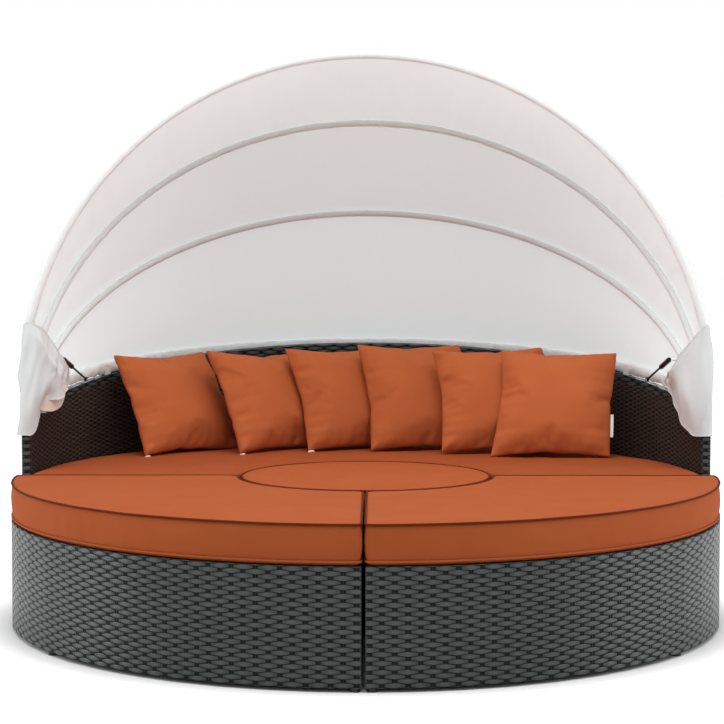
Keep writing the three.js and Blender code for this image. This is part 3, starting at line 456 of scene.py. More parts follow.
PANEL_FOOT_RISE = 0.19
CLOTH_LIFT = 0.0105
PANEL_COLUMNS = 241
PANEL_STRIPS = 25
PANEL_SEAM_SHARE = 0.004
PANEL_SLACK = 0.004
WRINKLES_PER_RADIAN = 6.6
WRINKLES_ACROSS = 1.2
FINE_WRINKLES = 3.4
FINE_WRINKLE_SHARE = 0.7
SLEEVE_OVERLAP = 0.03
SLEEVE_RINGS = 480
SLEEVE_SIDES = 16
GATHERS_PER_RADIAN = 80.0
GATHER_TURN = 0.8
# Each sleeve: half width along the cloth, half depth across it, height of the gathers, and how
# far it stands out from its tube's middle line
SLEEVES = {
    "front": (0.0112, 0.0165, 0.0008, 0.0065),
    "upper": (0.0112, 0.0106, 0.0024, 0.0),
    "lower": (0.0112, 0.0106, 0.001, 0.0),
    "rear": (0.0195, 0.0106, 0.0044, 0.0),
}


def bow_directions(bow):
    """A bow's own upward direction and the way forward across it."""
    lean = bow["lean"]
    up = np.array([0.0, math.sin(lean), math.cos(lean)])
    forward = np.array([0.0, -math.cos(lean), math.sin(lean)])
    return up, forward


def bow_points(bow, angles, lift):
    up = bow_directions(bow)[0]
    across = np.array([1.0, 0.0, 0.0])
    reach = bow["radius"] + lift
    return pivot + reach * (np.cos(angles)[:, None] * across + np.sin(angles)[:, None] * up)


def bow_sleeve(name):
    bow = BOWS[name]
    half, clear_of_hole_shade, gather, lift = SLEEVES[name]
    start = math.asin((PANEL_FOOT_RISE - SLEEVE_OVERLAP) / bow["radius"])
    angles = np.linspace(start, math.pi - start, SLEEVE_RINGS)
    forward = bow_directions(bow)[1]
    path = bow_points(bow, angles, lift)
    radial = (path - pivot) / (bow["radius"] + lift)
    around = np.arange(SLEEVE_SIDES) / SLEEVE_SIDES * 2 * math.pi
    # Gathers cross the sleeve: short folds that differ from side to side
    ring_place = np.stack([
        np.repeat(angles[:, None] * GATHERS_PER_RADIAN, SLEEVE_SIDES, axis=1),
        np.tile(np.cos(around) * GATHER_TURN, (len(angles), 1)),
        np.tile(np.sin(around) * GATHER_TURN, (len(angles), 1)),
    ], axis=2)
    pucker = soft_noise(ring_place, 1.0, 3) * gather
    grid = (
        path[:, None, :]
        + ((clear_of_hole_shade + pucker) * np.cos(around)[None, :])[:, :, None] * radial[:, None, :]
        + ((half + pucker) * np.sin(around)[None, :])[:, :, None] * forward
    )
    # The sleeve's cloth is painted lighter than the canopy: painted light along the bow
    made = grid_object(f"{name}_bow_sleeve", grid, materials["sleeve_cloth"], close_columns=True)
    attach(made, bow["body"])
    return made


def panel_grid(fore, aft, wrinkle, seed):
    """The panel lying straight between its bows, and as it hangs."""
    start = math.asin(PANEL_FOOT_RISE / fore["radius"])
    angles = np.linspace(start, math.pi - start, PANEL_COLUMNS)
    front = bow_points(fore, angles, CLOTH_LIFT)
    back = bow_points(aft, angles, CLOTH_LIFT)
    shares = np.linspace(PANEL_SEAM_SHARE, 1 - PANEL_SEAM_SHARE, PANEL_STRIPS)
    flat = front[:, None, :] * (1 - shares)[None, :, None] + back[:, None, :] * shares[None, :, None]
    inward = pivot - flat
    inward /= np.linalg.norm(inward, axis=2)[:, :, None]
    bell = np.sin(shares * math.pi)[None, :]
    # Cloth slackens a little between the bows and puckers across the pull
    along = np.repeat(angles[:, None] * WRINKLES_PER_RADIAN, PANEL_STRIPS, axis=1)
    across = np.tile(shares, (PANEL_COLUMNS, 1)) * WRINKLES_ACROSS
    place = np.stack([along, across, np.full(along.shape, seed)], axis=2)
    fine_place = place * np.array([FINE_WRINKLES, 1.0, 1.0])
    folds = soft_noise(place, 1.0, seed) + FINE_WRINKLE_SHARE * soft_noise(fine_place, 1.0, seed + 1)
    hung = flat + inward * (bell * (PANEL_SLACK + wrinkle * folds))[:, :, None]
    return flat, hung


def canopy_panel(name, fore_name, aft_name, wrinkle, seed):
    fore, aft = BOWS[fore_name], BOWS[aft_name]
    flat, grid = panel_grid(fore, aft, wrinkle, seed)
    made = grid_object(f"{name}_cloth", grid, materials["canopy_cloth"])
    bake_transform(made)
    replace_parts(made, name)
    return made


for bow_name in BOWS:
    bow_sleeve(bow_name)
canopy_panel("canopy_front_panel", "front", "upper", 0.011, 1)
canopy_panel("canopy_middle_panel", "upper", "lower", 0.004, 4)
canopy_panel("canopy_back_panel", "lower", "rear", 0.002, 7)

# Side flaps over the arm fronts

# Each line runs from behind on the outside, round the arm's front, to behind on the inside; these
# lines and the lining's are in millimetres
FLAP_LINES = {
    "right": {
        "hem": [
            (1121, 300, 650), (1138, 205, 606), (1148, 130, 588), (1147, 80, 584), (1115, 68, 584),
            (1086, 76, 585), (1070, 100, 598), (1055, 135, 620), (1045, 190, 662), (1037, 270, 708),
            (1034, 330, 726), (1030, 378, 738),
        ],
        "waist": [
            (1118, 300, 712), (1137, 215, 706), (1148, 138, 700), (1144, 88, 700), (1110, 72, 700),
            (1080, 82, 715), (1056, 112, 735), (1047, 170, 757), (1039, 235, 768), (1032, 305, 764),
            (1030, 372, 752),
        ],
        "top": [
            (1114, 290, 832), (1136, 222, 888), (1147, 172, 915), (1143, 143, 945), (1128, 134, 942),
            (1112, 138, 925), (1092, 165, 895), (1072, 215, 862), (1062, 255, 840), (1056, 292, 814),
            (1040, 370, 766),
        ],
    },
    "left": {
        "hem": [
            (1121, 300, 650), (1146, 205, 606), (1158, 130, 590), (1157, 80, 586), (1128, 66, 586),
            (1104, 74, 590), (1085, 98, 640), (1078, 106, 690), (1050, 106, 700), (1018, 125, 702),
            (1016, 200, 713), (1022, 300, 728), (1030, 378, 736),
        ],
        "waist": [
            (1118, 300, 710), (1137, 215, 705), (1148, 138, 700), (1144, 88, 700), (1112, 70, 705),
            (1076, 74, 742), (1046, 92, 770), (1030, 130, 780), (1026, 205, 775), (1026, 290, 765),
            (1028, 372, 755),
        ],
        "top": [
            (1114, 290, 832), (1136, 222, 888), (1146, 172, 915), (1141, 143, 948), (1116, 130, 955),
            (1091, 125, 943), (1077, 150, 926), (1059, 200, 889), (1046, 250, 856), (1024, 300, 806),
            (1027, 372, 772),
        ],
    },
}
# The back wall of the left flap's open pocket, from its front inner corner inwards
LINING_TOP = [
    (1112, 92, 735), (1085, 96, 738), (1058, 101, 742), (1036, 132, 745), (1022, 175, 745),
    (1014, 215, 745),
]
LINING_HEM = [
    (1110, 92, 692), (1085, 96, 670), (1058, 101, 662), (1038, 128, 663), (1022, 165, 677),
    (1014, 190, 710),
]
# Sharp ridges in each flap, from one place to another as shares along and up it, and their height
CREASES = {
    "right": [
        ((0.46, 0.98), (0.78, 0.30), 0.026),
        ((0.60, 0.70), (0.92, 0.52), 0.016),
        ((0.30, 0.95), (0.42, 0.10), 0.014),
    ],
    "left": [
        ((0.40, 0.98), (0.60, 0.42), 0.024),
        ((0.62, 0.95), (0.72, 0.30), 0.016),
        ((0.25, 0.90), (0.36, 0.10), 0.012),
    ],
}
CREASE_SHARE = 0.04
FLAP_TALLNESS = 0.6
FLAP_COLUMNS = 161
FLAP_ROWS = 61
LINING_COLUMNS = 31
LINING_ROWS = 13
STEPS_PER_KNOT = 40
CREASE_END = 0.04
# Soft folds along and up a flap, how far they slant, and the finer folds among them
FOLDS_ALONG = 9.0
FOLDS_UP = 1.3
FOLD_SLANT = 1.5
FOLD_STEP = 3.0
FOLD_HEIGHT = 0.0095
FOLD_TOP = 0.9
FINE_FOLDS = (2.4, 1.6, 1.0)
FINE_FOLD_SHARE = 0.4
HEM_WAVES = 7
WAVE_HEIGHT = 0.0022
# The folds rise from a flap's two ends over this share of its length
HELD_SHARE = 1 / 12
TRIM_RADIUS = 0.0013
TRIM_SIDES = 6


def smooth_line(controls, count):
    """Points spread evenly along a smooth curve through the controls."""
    knots = np.array(controls, float)
    padded = np.vstack([2 * knots[0] - knots[1], knots, 2 * knots[-1] - knots[-2]])
    places = []
    for k in range(len(knots) - 1):
        a, b, c, d = padded[k : k + 4]
        slope, bend, twist = c - a, 2 * a - 5 * b + 4 * c - d, 3 * b - a - 3 * c + d
        for t in np.linspace(0, 1, STEPS_PER_KNOT, endpoint=False):
            places.append(0.5 * (2 * b + slope * t + bend * t**2 + twist * t**3))
    places.append(knots[-1])
    places = np.array(places)
    travelled = np.concatenate([[0], np.cumsum(np.linalg.norm(np.diff(places, axis=0), axis=1))])
    even = np.linspace(0, travelled[-1], count)
    return np.stack([np.interp(even, travelled, places[:, k]) for k in range(3)], axis=1)


def flap_blend(made):
    """Bakes the flap's placement into its points."""
    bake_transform(made)


def flap_creases(creases, along, up):
    """How far the creases stand out at each place on a flap."""
    height = np.zeros(along.shape)
    for (start_along, start_up), (end_along, end_up), clear_of_hole_shade in creases:
        run_along, run_up = end_along - start_along, end_up - start_up
        run = ((along - start_along) * run_along + (up - start_up) * run_up) / (run_along**2 + run_up**2)
        run = np.clip(run, 0, 1)
        off_up = (up - start_up - run_up * run) * FLAP_TALLNESS
        off = np.hypot(along - start_along - run_along * run, off_up)
        fading = np.sin(np.clip(run, CREASE_END, 1 - CREASE_END) * math.pi) ** 0.5
        height += clear_of_hole_shade * np.exp(-off / CREASE_SHARE) * fading
    return height


def hung_flap(side_name, side, seed):
    """The flap's grid, its columns round the arm and its rows from the hem to the top."""
    drawn = FLAP_LINES[side_name]
    lines = [smooth_line(metres(drawn[line]), FLAP_COLUMNS) for line in ("hem", "waist", "top")]
    grid = np.stack([smooth_line([line[i] for line in lines], FLAP_ROWS) for i in range(FLAP_COLUMNS)])
    outward = np.cross(np.gradient(grid, axis=1), np.gradient(grid, axis=0))
    outward /= np.linalg.norm(outward, axis=2)[:, :, None]
    along, up = np.meshgrid(np.linspace(0, 1, FLAP_COLUMNS), np.linspace(0, 1, FLAP_ROWS), indexing="ij")
    # Long soft folds fall from the top, small waves run along the hem
    own_place = np.full(along.shape, seed * FOLD_STEP)
    place = np.stack([along * FOLDS_ALONG - up * FOLD_SLANT, up * FOLDS_UP, own_place], axis=2)
    fine_place = place * np.array(FINE_FOLDS)
    fold = soft_noise(place, 1.0, seed) + FINE_FOLD_SHARE * soft_noise(fine_place, 1.0, seed + 4)
    fold = fold * np.sin(np.clip(up, 0, FOLD_TOP) * math.pi)
    wave = np.sin(along * HEM_WAVES * 2 * math.pi + seed) * (1 - up) ** 3
    crease = flap_creases(CREASES[side_name], along, up)
    held = np.clip(np.minimum(along, 1 - along) / HELD_SHARE, 0, 1)
    grid = grid + outward * ((FOLD_HEIGHT * fold + WAVE_HEIGHT * wave + crease) * held)[:, :, None]
    return grid * np.array([side, 1.0, 1.0]) + centre


def flap_lining(side):
    top, hem = (smooth_line(metres(line), LINING_COLUMNS) for line in (LINING_TOP, LINING_HEM))
    shares = np.linspace(0, 1, LINING_ROWS)[None, :, None]
    grid = hem[:, None, :] * (1 - shares) + top[:, None, :] * shares
    grid = grid * np.array([side, 1.0, 1.0]) + centre
    # The lining's peach colour is painted light bounced from the orange cushions
    lining = grid_object("canopy_flap_left_lining", grid, materials["lining_cloth"])
    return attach(lining, "back_unit")


def side_flap(side_name, side, seed):
    grid = hung_flap(side_name, side, seed)
    # The flap and its trims take the canopy cloth painted darker, as painted shade
    made = grid_object(f"canopy_flap_{side_name}_cloth", grid, materials["flap_cloth"])
    flap_blend(made)
    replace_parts(made, f"canopy_flap_{side_name}")
    for label, line in (("hem", grid[:, 0]), ("edge", grid[FLAP_COLUMNS // 3:, -1])):
        ring = tube_grid(line, path_frames(line), TRIM_RADIUS, TRIM_SIDES)
        name = f"canopy_flap_{side_name}_{label}"
        trim = grid_object(name, ring, materials["flap_cloth"], close_columns=True)
        flap_blend(trim)
    if side_name == "left":
        flap_lining(side)
    return made


side_flap("right", 1.0, 1)
side_flap("left", -1.0, 2)

# Seat cushions

# Radii of the outer edges, of the round notch for the ottoman and of the ottoman itself
UNIT_EDGE = 1.1465
WALL_EDGE = 1.115
NOTCH_EDGE = 0.414
OTTOMAN_EDGE = 0.41
SEAM_HALF = 0.002
CORNER_RADIUS = 0.03
LOOP_POINTS = 480
# Points on the outer edge and on the notch, and round the ottoman
FRONT_ARCS = (90, 40)
BACK_ARCS = (160, 80)
OTTOMAN_ARC = 121
# Heights of the underside and of the pipings
CUSHION_BOTTOM = 0.3463
BOTTOM_PIPING = 0.358
TOP_PIPING = 0.460
BACK_TOP_PIPING = 0.450
CROWN_TOP = 0.471
PIPING_RADIUS = 0.0034
PIPING_SIDES = 8
PIPING_INSET = 0.0035
PIPING_WAVER = 0.0008
WAVER_SCALE = 7.0
# The sides bulge out between the pipings from this inset
SIDE_INSET = 0.0065
SIDE_STEPS = 11
BULGE_POWER = 0.7
# The rounded lower edge: how far in and how far up
LOWER_EDGE = [(0.030, 0.0), (0.014, 0.001), (0.008, 0.005)]
CROWN_INSETS = [0.0085, 0.013, 0.02, 0.03, 0.042, 0.056, 0.075, 0.1, 0.13, 0.165, 0.2, 0.24, 0.28, 0.32]
OTTOMAN_INSETS = CROWN_INSETS + [0.35, 0.38]
# Wide and narrow waves of the top, which fade out towards the piping, and puckers of the sides
WIDE_WAVE = 0.0035
WIDE_SCALE = 5.0
NARROW_WAVE = 0.0012
NARROW_SCALE = 16.0
WAVE_FADE = 0.06
SIDE_PUCKER = 0.0025
PUCKER_SCALE = 22.0
PUCKER_STRETCH = 0.35
# Rise of the crown over the piping, and the inset within which it mostly rises
FRONT_CROWN = (CROWN_TOP - TOP_PIPING, 0.09)
BACK_CROWN = (CROWN_TOP - BACK_TOP_PIPING, 0.03)
OTTOMAN_CROWN = (CROWN_TOP - TOP_PIPING, 0.07)


def arc(radius, start, end, count):
    angles = np.linspace(start, end, count)
    return np.stack([radius * np.cos(angles), radius * np.sin(angles)], axis=1)


def notched_outline(edge, inset, first, last, counts):
    """Round the outer edge between two directions and back round the ottoman's notch."""
    outer, inner, side = edge - inset, NOTCH_EDGE + inset, SEAM_HALF + inset
    outer_angle, inner_angle = math.asin(side / outer), math.asin(side / inner)
    return np.vstack([
        arc(outer, first + outer_angle, last - outer_angle, counts[0]),
        arc(inner, last - inner_angle, first + inner_angle, counts[1]),
    ])


def front_outline(inset):
    return notched_outline(UNIT_EDGE, inset, -math.pi / 2, 0, FRONT_ARCS)


def back_outline(inset):
    return notched_outline(WALL_EDGE, inset, 0, math.pi, BACK_ARCS)


def round_outline(inset):
    return arc(OTTOMAN_EDGE - inset, 0, 2 * math.pi, OTTOMAN_ARC)[:-1]


def even_loop(points, count):
    """The same closed plan line with evenly spread points."""
    closed = np.vstack([points, points[:1]])
    travelled = np.concatenate([[0], np.cumsum(np.linalg.norm(np.diff(closed, axis=0), axis=1))])
    even = np.linspace(0, travelled[-1], count, endpoint=False)
    return np.stack([np.interp(even, travelled, closed[:, k]) for k in range(2)], axis=1)


def cushion_loop(outline, inset, mirror):
    """The cushion's rounded plan line at one inset, in the plan circle's own frame."""
    loop = even_loop(outline(inset), LOOP_POINTS)
    step = np.linalg.norm(np.roll(loop, -1, axis=0) - loop, axis=1).mean()
    for _ in range(int(max(1, (CORNER_RADIUS / step) ** 2 / 3))):
        loop = (np.roll(loop, 1, axis=0) + 2 * loop + np.roll(loop, -1, axis=0)) / 4
    return loop * np.array([mirror, 1.0])


def cushion_levels(top_piping, crown, insets):
    """Inset and height of each ring, from the underside up the sides and over the crown."""
    levels = [(inset, CUSHION_BOTTOM + rise) for inset, rise in LOWER_EDGE]
    levels += [(SIDE_INSET, BOTTOM_PIPING)]
    side_height = top_piping - BOTTOM_PIPING
    for share in np.linspace(0, 1, SIDE_STEPS + 2)[1:-1]:
        bulge = math.sin(math.pi * share) ** BULGE_POWER
        levels.append((SIDE_INSET * (1 - bulge), BOTTOM_PIPING + side_height * share))
    levels += [(SIDE_INSET, top_piping)]
    crown_rise, crown_run = crown
    levels += [(inset, top_piping + crown_rise * (1 - math.exp(-inset / crown_run))) for inset in insets]
    return levels


def cushion_piping(name, body, outline, mirror, height, cloth, seed):
    loop = cushion_loop(outline, PIPING_INSET, mirror)
    path = np.column_stack([loop, np.full(LOOP_POINTS, height)]) + centre
    path[:, 2] += soft_noise(path, WAVER_SCALE, seed + 9) * PIPING_WAVER
    ring = tube_grid(path, loop_frames(path), PIPING_RADIUS, PIPING_SIDES)
    piping = grid_object(name, ring, cloth, True, True)
    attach(piping, body)


def seat_cushion(node, outline, top_piping, crown, mirror, seed):
    """A foam cushion with its two pipings; mirror is -1.0 for the left one."""
    body = f"{node}_unit"
    # The back cushion takes a darker copy of the seat cloth, with the canopy's painted shade
    cover = materials["back_seat_cloth" if node == "back_cushion" else "seat_cloth"]
    insets = OTTOMAN_INSETS if node == "centre_cushion" else CROWN_INSETS
    levels = cushion_levels(top_piping, crown, insets)
    rings = []
    for inset, height in levels:
        loop = cushion_loop(outline, inset, mirror)
        rings.append(np.column_stack([loop, np.full(LOOP_POINTS, height)]))
    grid = np.stack(rings) + centre
    wide = soft_noise(grid, WIDE_SCALE, seed) * WIDE_WAVE
    narrow = soft_noise(grid, NARROW_SCALE, seed + 2) * NARROW_WAVE
    fades = [min(1.0, inset / WAVE_FADE) if height > top_piping else 0.0 for inset, height in levels]
    grid[:, :, 2] += (wide + narrow) * np.array(fades)[:, None]
    outward = grid - grid.mean(axis=1, keepdims=True)
    outward[:, :, 2] = 0
    outward /= np.linalg.norm(outward, axis=2)[:, :, None]
    heights = np.array([height for _, height in levels])[:, None]
    side_shares = (heights - BOTTOM_PIPING) / (top_piping - BOTTOM_PIPING)
    on_side = np.sin(math.pi * np.clip(side_shares, 0, 1))
    pucker_place = grid * np.array([1.0, 1.0, PUCKER_STRETCH])
    pucker = soft_noise(pucker_place, PUCKER_SCALE, seed + 5) * SIDE_PUCKER
    grid += outward * (pucker * on_side)[:, :, None]
    points = grid.reshape(-1, 3)
    faces = grid_faces(len(levels), LOOP_POINTS, close_columns=True)
    faces.append(tuple(range(LOOP_POINTS)))
    faces.append(tuple(reversed(range(len(points) - LOOP_POINTS, len(points)))))
    if mirror > 0:
        faces = [tuple(reversed(face)) for face in faces]
    made = new_object(f"{node}_soft", points, faces, cover)
    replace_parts(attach(made, body), node)
    # The top piping carries painted shade of its crease; the bottom piping keeps the cover's own colour
    pipings = (("bottom", BOTTOM_PIPING, cover), ("top", top_piping, materials["piping_cloth"]))
    for label, height, cloth in pipings:
        cushion_piping(f"{node}_{label}_piping", body, outline, mirror, height, cloth, seed)
    return made


seat_cushion("front_right_cushion", front_outline, TOP_PIPING, FRONT_CROWN, 1.0, 1)
seat_cushion("front_left_cushion", front_outline, TOP_PIPING, FRONT_CROWN, -1.0, 2)
seat_cushion("back_cushion", back_outline, BACK_TOP_PIPING, BACK_CROWN, 1.0, 3)
seat_cushion("centre_cushion", round_outline, TOP_PIPING, OTTOMAN_CROWN, 1.0, 4)

# Throw pillows

PILLOW_SIDE = 0.43
PILLOW_DEPTH = 0.145
CAD_PILLOW_SIDE = 0.415
PILLOW_LEAN = math.radians(27)
PILLOW_SINK = 0.001
# How much is left of what would sink into the seat
PRESSED_SHARE = 0.1
COVER_CELLS = 48
# How far the sides draw in between the corners, as a share of the pillow's half side
PILLOW_PINCH = 0.045
# How squarely the faces swell towards the corners, and how steeply from the seams
SWELL_SQUARENESS = 4
SWELL_POWER = 0.6
# How far the right edge bellies out; the last pillow stands free and bellies out less
PILLOW_BELLY = 0.034
LAST_BELLY = PILLOW_BELLY / 3
GATHER_HEIGHT = 0.015
GATHERS_PER_HALF = 8.0
GATHERS_INWARD = 1.2
GATHER_STEP = 2.7
GATHER_REACH = 0.22
# The gathers rise from the seam over this share of the pillow's half side
GATHER_RISE = 1 / 9
# The cover starts larger than the pillow, and its two sheets start this far from each other
COVER_FULLNESS = 1.06
COVER_GAP = 0.02
COVER_BUMPS = 12
COVER_BUMP_HEIGHT = 0.002
CLOTH_STEPS = 36
# How much of the simulated shape counts across, up and out of the pillow
SIMULATED_SHARES = (0.25, 0.25, 0.85)
# Lower left corner's place across and along, and the way the pillow faces
PILLOWS = [
    (-0.771, 0.455, 45), (-0.442, 0.523, 45), (-0.204, 0.624, 30),
    (0.019, 0.625, 16), (0.267, 0.527, 10), (0.437, 0.463, -8),
]
# How far each corner is drawn across and up, in millimetres: lower left, lower right, upper right,
# upper left
PILLOW_CORNERS = [
    ((0, 10), (0, 0), (-15, -30), (0, -26)),
    ((0, 10), (0, 0), (-30, -42), (0, -8)),
    ((0, 10), (0, 0), (-12, -22), (0, -10)),
    ((2, 10), (-15, 4), (-32, -2), (2, 4)),
    ((4, 16), (-6, 6), (-10, -6), (6, -14)),
    ((2, 6), (-6, 12), (12, -16), (26, -8)),
]
PILLOWS_WITH_ZIP_PULLS = 3
# Zip pulls and the tag: width and length, how far off the seam, and how far they curl out
STRIP_STEPS = 13
STRIP_THICKNESS = 0.0012
ZIP_PULL_SIZE = (0.007, 0.026)
ZIP_PULL_OFFSET = 0.004
ZIP_PULL_CURL = 0.006
TAG_SIZE = (0.011, 0.085)
TAG_OFFSET = 0.003
TAG_CURL = 0.002
TAG_HEIGHT_SHARE = -0.62


def pillow_grid(cells):
    """Two square sheets joined at their edges, as points and faces, in the pillow's own plane."""
    spread = np.linspace(-1, 1, cells + 1)
    points, faces, where = [], [], {}

    def vertex(i, j, face):
        edge = i in (0, cells) or j in (0, cells)
        key = (i, j, 0 if edge else face)
        if key not in where:
            where[key] = len(points)
            points.append((spread[i], spread[j], 0.0 if edge else face * COVER_GAP))
        return where[key]

    for face in (1, -1):
        for i in range(cells):
            for j in range(cells):
                corners = [(i, j), (i + 1, j), (i + 1, j + 1), (i, j + 1)]
                quad = [vertex(*corner, face) for corner in corners]
                faces.append(tuple(quad if face > 0 else reversed(quad)))
    return np.array(points), faces


def plain_pillow(points):
    """A filled pillow's shape without the simulation."""
    shaped = points.copy()
    u, v = points[:, 0], points[:, 1]
    swell = 1.0
    for along in (u, v):
        swell = swell * np.clip(1 - along**SWELL_SQUARENESS, 0, 1) ** SWELL_POWER
    shaped[:, 0] = PILLOW_SIDE / 2 * u * (1 - PILLOW_PINCH * (1 - v**2))
    shaped[:, 1] = PILLOW_SIDE / 2 * v * (1 - PILLOW_PINCH * (1 - u**2))
    shaped[:, 2] = np.sign(points[:, 2]) * swell * PILLOW_DEPTH / 2
    return shaped


def simulated_pillow(points, faces, seed):
    """Inflates the flat cover with the cloth solver and returns its points, fitted to the size."""
    start_side = PILLOW_SIDE / 2 * COVER_FULLNESS
    start = points * np.array([start_side, start_side, 0.5])
    bumps = [noise.noise(Vector(p) * COVER_BUMPS + Vector((seed, 0, 0))) for p in start]
    start[:, 2] += np.array(bumps) * COVER_BUMP_HEIGHT
    cover = new_object("pillow_cover", start, faces, materials["cushion"])
    cloth = cover.modifiers.new("cloth", "CLOTH")
    settings = cloth.settings
    settings.quality = 6
    settings.mass = 0.25
    settings.tension_stiffness = 30
    settings.compression_stiffness = 30
    settings.shear_stiffness = 8
    settings.bending_stiffness = 0.6
    settings.air_damping = 3
    settings.use_pressure = True
    settings.uniform_pressure_force = 7
    settings.effector_weights.gravity = 0
    cloth.collision_settings.use_collision = False
    cloth.point_cache.frame_end = CLOTH_STEPS
    scene = bpy.context.scene
    for step in range(1, CLOTH_STEPS + 1):
        scene.frame_set(step)
    evaluated = cover.evaluated_get(bpy.context.evaluated_depsgraph_get())
    shaped = np.array([v.co for v in evaluated.data.vertices])
    bpy.data.objects.remove(cover)
    scene.frame_set(1)
    shaped -= (shaped.max(axis=0) + shaped.min(axis=0)) / 2
    size = shaped.max(axis=0) - shaped.min(axis=0)
    shaped = shaped * (np.array([PILLOW_SIDE, PILLOW_SIDE, PILLOW_DEPTH]) / size)
    # The filling holds the seams straighter than air does, so part of the plain shape stays
    share = np.array(SIMULATED_SHARES)
    return shaped * share + plain_pillow(points) * (1 - share)


def seam_gathers(points, seed):
    """Short folds that run in from a pillow's seams, as heights out of its faces."""
    u, v = points[:, 0], points[:, 1]
    folds = np.zeros(len(points))
    own_place = np.full(len(points), seed * GATHER_STEP)
    for along, seam_gap in ((v, 1 - np.abs(u)), (u, 1 - np.abs(v))):
        place = np.column_stack([along * GATHERS_PER_HALF, seam_gap * GATHERS_INWARD, own_place])
        fading = np.exp(-seam_gap / GATHER_REACH) * np.clip(seam_gap / GATHER_RISE, 0, 1)
        folds += soft_noise(place, 1.0, seed) * fading
    return np.sign(points[:, 2]) * folds * GATHER_HEIGHT


def draw_corners(shape, points, moves, belly):
    """Pulls a pillow's corners across and up in its own plane and bellies out its right edge."""
    u, v = (points[:, 0] + 1) / 2, (points[:, 1] + 1) / 2
    shares = [(1 - u) * (1 - v), u * (1 - v), u * v, (1 - u) * v]
    drawn = shape.copy()
    for share, (across, up) in zip(shares, metres(moves)):
        drawn[:, 0] += share * across
        drawn[:, 1] += share * up
    drawn[:, 0] += belly * u * (1 - points[:, 1] ** 2)
    return drawn


def pillow_axes(facing):
    turn = math.radians(facing)
    across = np.array([math.cos(turn), math.sin(turn), 0.0])
    back = math.sin(PILLOW_LEAN)
    up = np.array([-back * math.sin(turn), back * math.cos(turn), math.cos(PILLOW_LEAN)])
    return across, up, np.cross(across, up)


def pillow_strip(name, number, place, axes, size, curl):
    """A small folded tab sewn into a pillow's seam: width and length, and how far it curls out."""
    across, up, outward = axes
    width, length = size
    shares = np.linspace(0, 1, STRIP_STEPS)
    line = (
        place
        + np.outer(shares * length, up)
        + np.outer(np.sin(shares * math.pi) * curl, outward)
    )
    layers = [line - across * width / 2, line + across * width / 2]
    back = [layer - outward * STRIP_THICKNESS for layer in reversed(layers)]
    grid = np.stack(layers + back, axis=1)
    made = grid_object(name, grid, materials["tag_cloth"], close_columns=True)
    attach(made, f"pillow_{number}")
    return made


def pillow_shape(number, moves):
    shape = simulated_pillow(cover_points, cover_faces, number)
    belly = PILLOW_BELLY if number < len(PILLOWS) else LAST_BELLY
    shape = draw_corners(shape, cover_points, moves, belly)
    shape[:, 2] += seam_gathers(cover_points, number)
    return shape


def seam_point(placed, u, v):
    """The point of a pillow's seam nearest to a place on its flat cover."""
    return placed[np.argmin(np.linalg.norm(cover_points - [u, v, 0], axis=1))]


def throw_pillow(number, corner_x, corner_y, facing, moves):
    axes = pillow_axes(facing)
    across, up, outward = axes
    corner = np.array([corner_x, corner_y, CROWN_TOP]) + centre
    middle = corner + (across + up) * CAD_PILLOW_SIDE / 2
    placed = middle + pillow_shape(number, moves) @ np.stack(axes)
    # What would sink into the seat is pressed flat on it
    seat = CROWN_TOP - PILLOW_SINK
    pressed = seat + (placed[:, 2] - seat) * PRESSED_SHARE
    placed[:, 2] = np.where(placed[:, 2] < seat, pressed, placed[:, 2])
    pillow = new_object(f"throw_pillow_{number}_soft", placed, cover_faces, materials["cushion"])
    rounding = pillow.modifiers.new("rounding", "SUBSURF")
    rounding.levels = 1
    rounding.render_levels = 1
    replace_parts(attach(pillow, f"pillow_{number}"), f"throw_pillow_{number}")
    if number <= PILLOWS_WITH_ZIP_PULLS:
        place = seam_point(placed, -1, -1) + (across - outward) * ZIP_PULL_OFFSET
        pull_axes = (up, across, outward)
        name = f"throw_pillow_{number}_zip_pull"
        pillow_strip(name, number, place, pull_axes, ZIP_PULL_SIZE, ZIP_PULL_CURL)
    if number == len(PILLOWS):
        place = seam_point(placed, 1, TAG_HEIGHT_SHARE) + across * TAG_OFFSET
        pillow_strip(f"throw_pillow_{number}_tag", number, place, axes, TAG_SIZE, TAG_CURL)


cover_points, cover_faces = pillow_grid(COVER_CELLS)
for number, (place, moves) in enumerate(zip(PILLOWS, PILLOW_CORNERS), start=1):
    throw_pillow(number, *place, moves)

# Camera: fitted to the photograph on the base circle, the seat line, the backrest and the bows

CAMERA_FOCAL = 2001.37
PICTURE_SIZE = 724
SENSOR_WIDTH = 36.0
CAMERA_ACROSS = 0.0345
CAMERA_BACK = 6.531
CAMERA_HEIGHT = 1.2296
# How far the camera looks down, and how far it is turned to the left
CAMERA_DOWN = 0.0606
CAMERA_TURN = 0.0071
camera_data = bpy.data.cameras.new("camera")
camera_data.sensor_width = SENSOR_WIDTH
camera_data.lens = CAMERA_FOCAL * SENSOR_WIDTH / PICTURE_SIZE
camera = bpy.data.objects.new("camera", camera_data)
camera.location = (CAMERA_ACROSS, centre[1] - CAMERA_BACK, CAMERA_HEIGHT)
camera.rotation_euler = (math.pi / 2 - CAMERA_DOWN, 0, CAMERA_TURN)
bpy.context.scene.collection.objects.link(camera)
bpy.context.scene.camera = camera

# Light: a white room that the camera sees as plain white, a pale floor, and soft boxes

ROOM_STRENGTH = 0.55
FLOOR_REACH = 30.0
FLOOR_SHADE = 0.82
FLOOR_PALING = 0.65
# The floor pales outwards between these distances from the centre, so the dark under the daybed stays
PALING_RANGE = (1.1, 1.4)
scene = bpy.context.scene


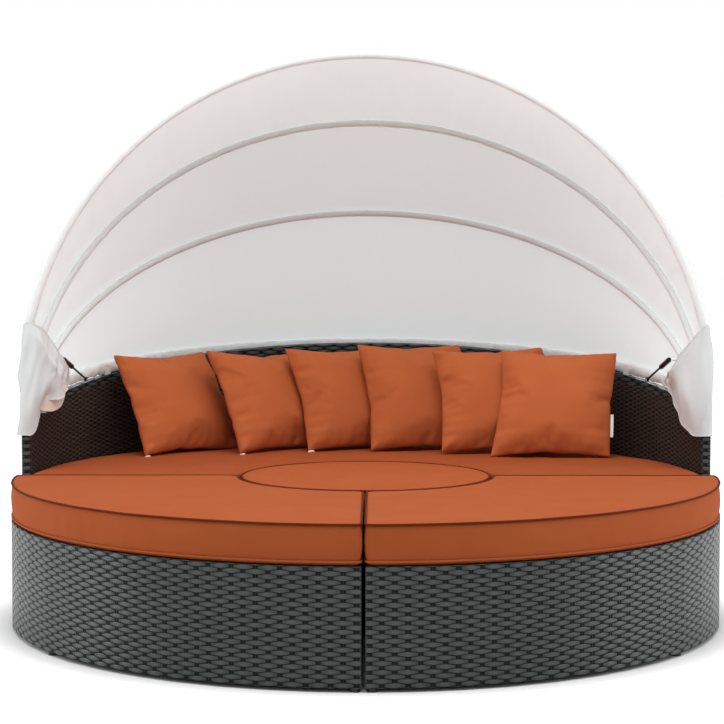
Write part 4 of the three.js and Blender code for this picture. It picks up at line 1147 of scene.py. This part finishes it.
def background_rays(tree):
    """1 for the rays that see the background: camera, glossy and transmission rays."""
    rays = tree.nodes.new("ShaderNodeLightPath")
    seen = math_node(tree, "MAXIMUM", rays.outputs["Is Camera Ray"], rays.outputs["Is Glossy Ray"])
    return math_node(tree, "MAXIMUM", seen, rays.outputs["Is Transmission Ray"])


world = bpy.data.worlds.new("world")
scene.world = world
world.use_nodes = True
tree = world.node_tree
tree.nodes.clear()
output = new_node(tree, "OutputWorld")
white = new_node(tree, "Background", (1, 1, 1, 1), 1.0)
room = new_node(tree, "Background", (1, 1, 1, 1), ROOM_STRENGTH)
mix = new_node(tree, "MixShader", background_rays(tree), room.outputs[0], white.outputs[0])
tree.links.new(mix.outputs[0], output.inputs["Surface"])

floor_material, tree, shader = new_material("floor")
shader.inputs["Base Color"].default_value = (FLOOR_SHADE, FLOOR_SHADE, FLOOR_SHADE, 1)
shader.inputs["Roughness"].default_value = 1.0
shader.inputs["Specular IOR Level"].default_value = 0.0
floor_place = tree.nodes.new("ShaderNodeNewGeometry").outputs["Position"]
from_middle = vector_node(tree, "DISTANCE", floor_place, tuple(centre)).outputs["Value"]
clear_of_base = smooth_share(tree, from_middle, *PALING_RANGE)
paling = times(tree, background_rays(tree), clear_of_base)
glow = new_node(tree, "Emission", (1, 1, 1, 1), times(tree, paling, FLOOR_PALING))
both = new_node(tree, "AddShader", shader.outputs[0], glow.outputs[0])
tree.links.new(both.outputs[0], tree.nodes["Material Output"].inputs["Surface"])
floor_sides = [(-1, -1), (1, -1), (1, 1), (-1, 1)]
floor_corners = [(x * FLOOR_REACH, y * FLOOR_REACH, 0.0) for x, y in floor_sides]
floor = new_object("floor", floor_corners, [(0, 1, 2, 3)], floor_material)


def soft_box(name, place, aim, size, power):
    data = bpy.data.lights.new(name, "AREA")
    data.shape = "RECTANGLE"
    data.size, data.size_y = size
    data.energy = power
    lamp = bpy.data.objects.new(name, data)
    lamp.location = place
    lamp.rotation_euler = (Vector(aim) - Vector(place)).to_track_quat("-Z", "Y").to_euler()
    scene.collection.objects.link(lamp)
    return lamp


# Each soft box: place, what it points at, size and power
SOFT_BOXES = {
    "top_box": ((0.0, -1.6, 4.2), (0, -0.4, 0.4), (3.5, 2.5), 125),
    "left_box": ((-4.5, -0.6, 1.5), (-0.8, -0.6, 0.3), (1.6, 2.4), 58),
    "right_box": ((4.5, -0.6, 1.5), (0.8, -0.6, 0.3), (1.6, 2.4), 58),
    "behind_box": ((0.0, 4.2, 2.6), (0, 0.4, 1.3), (4.0, 2.5), 60),
}
for name, (place, aim, size, power) in SOFT_BOXES.items():
    soft_box(name, place, aim, size, power)

scene.view_settings.view_transform = "Standard"
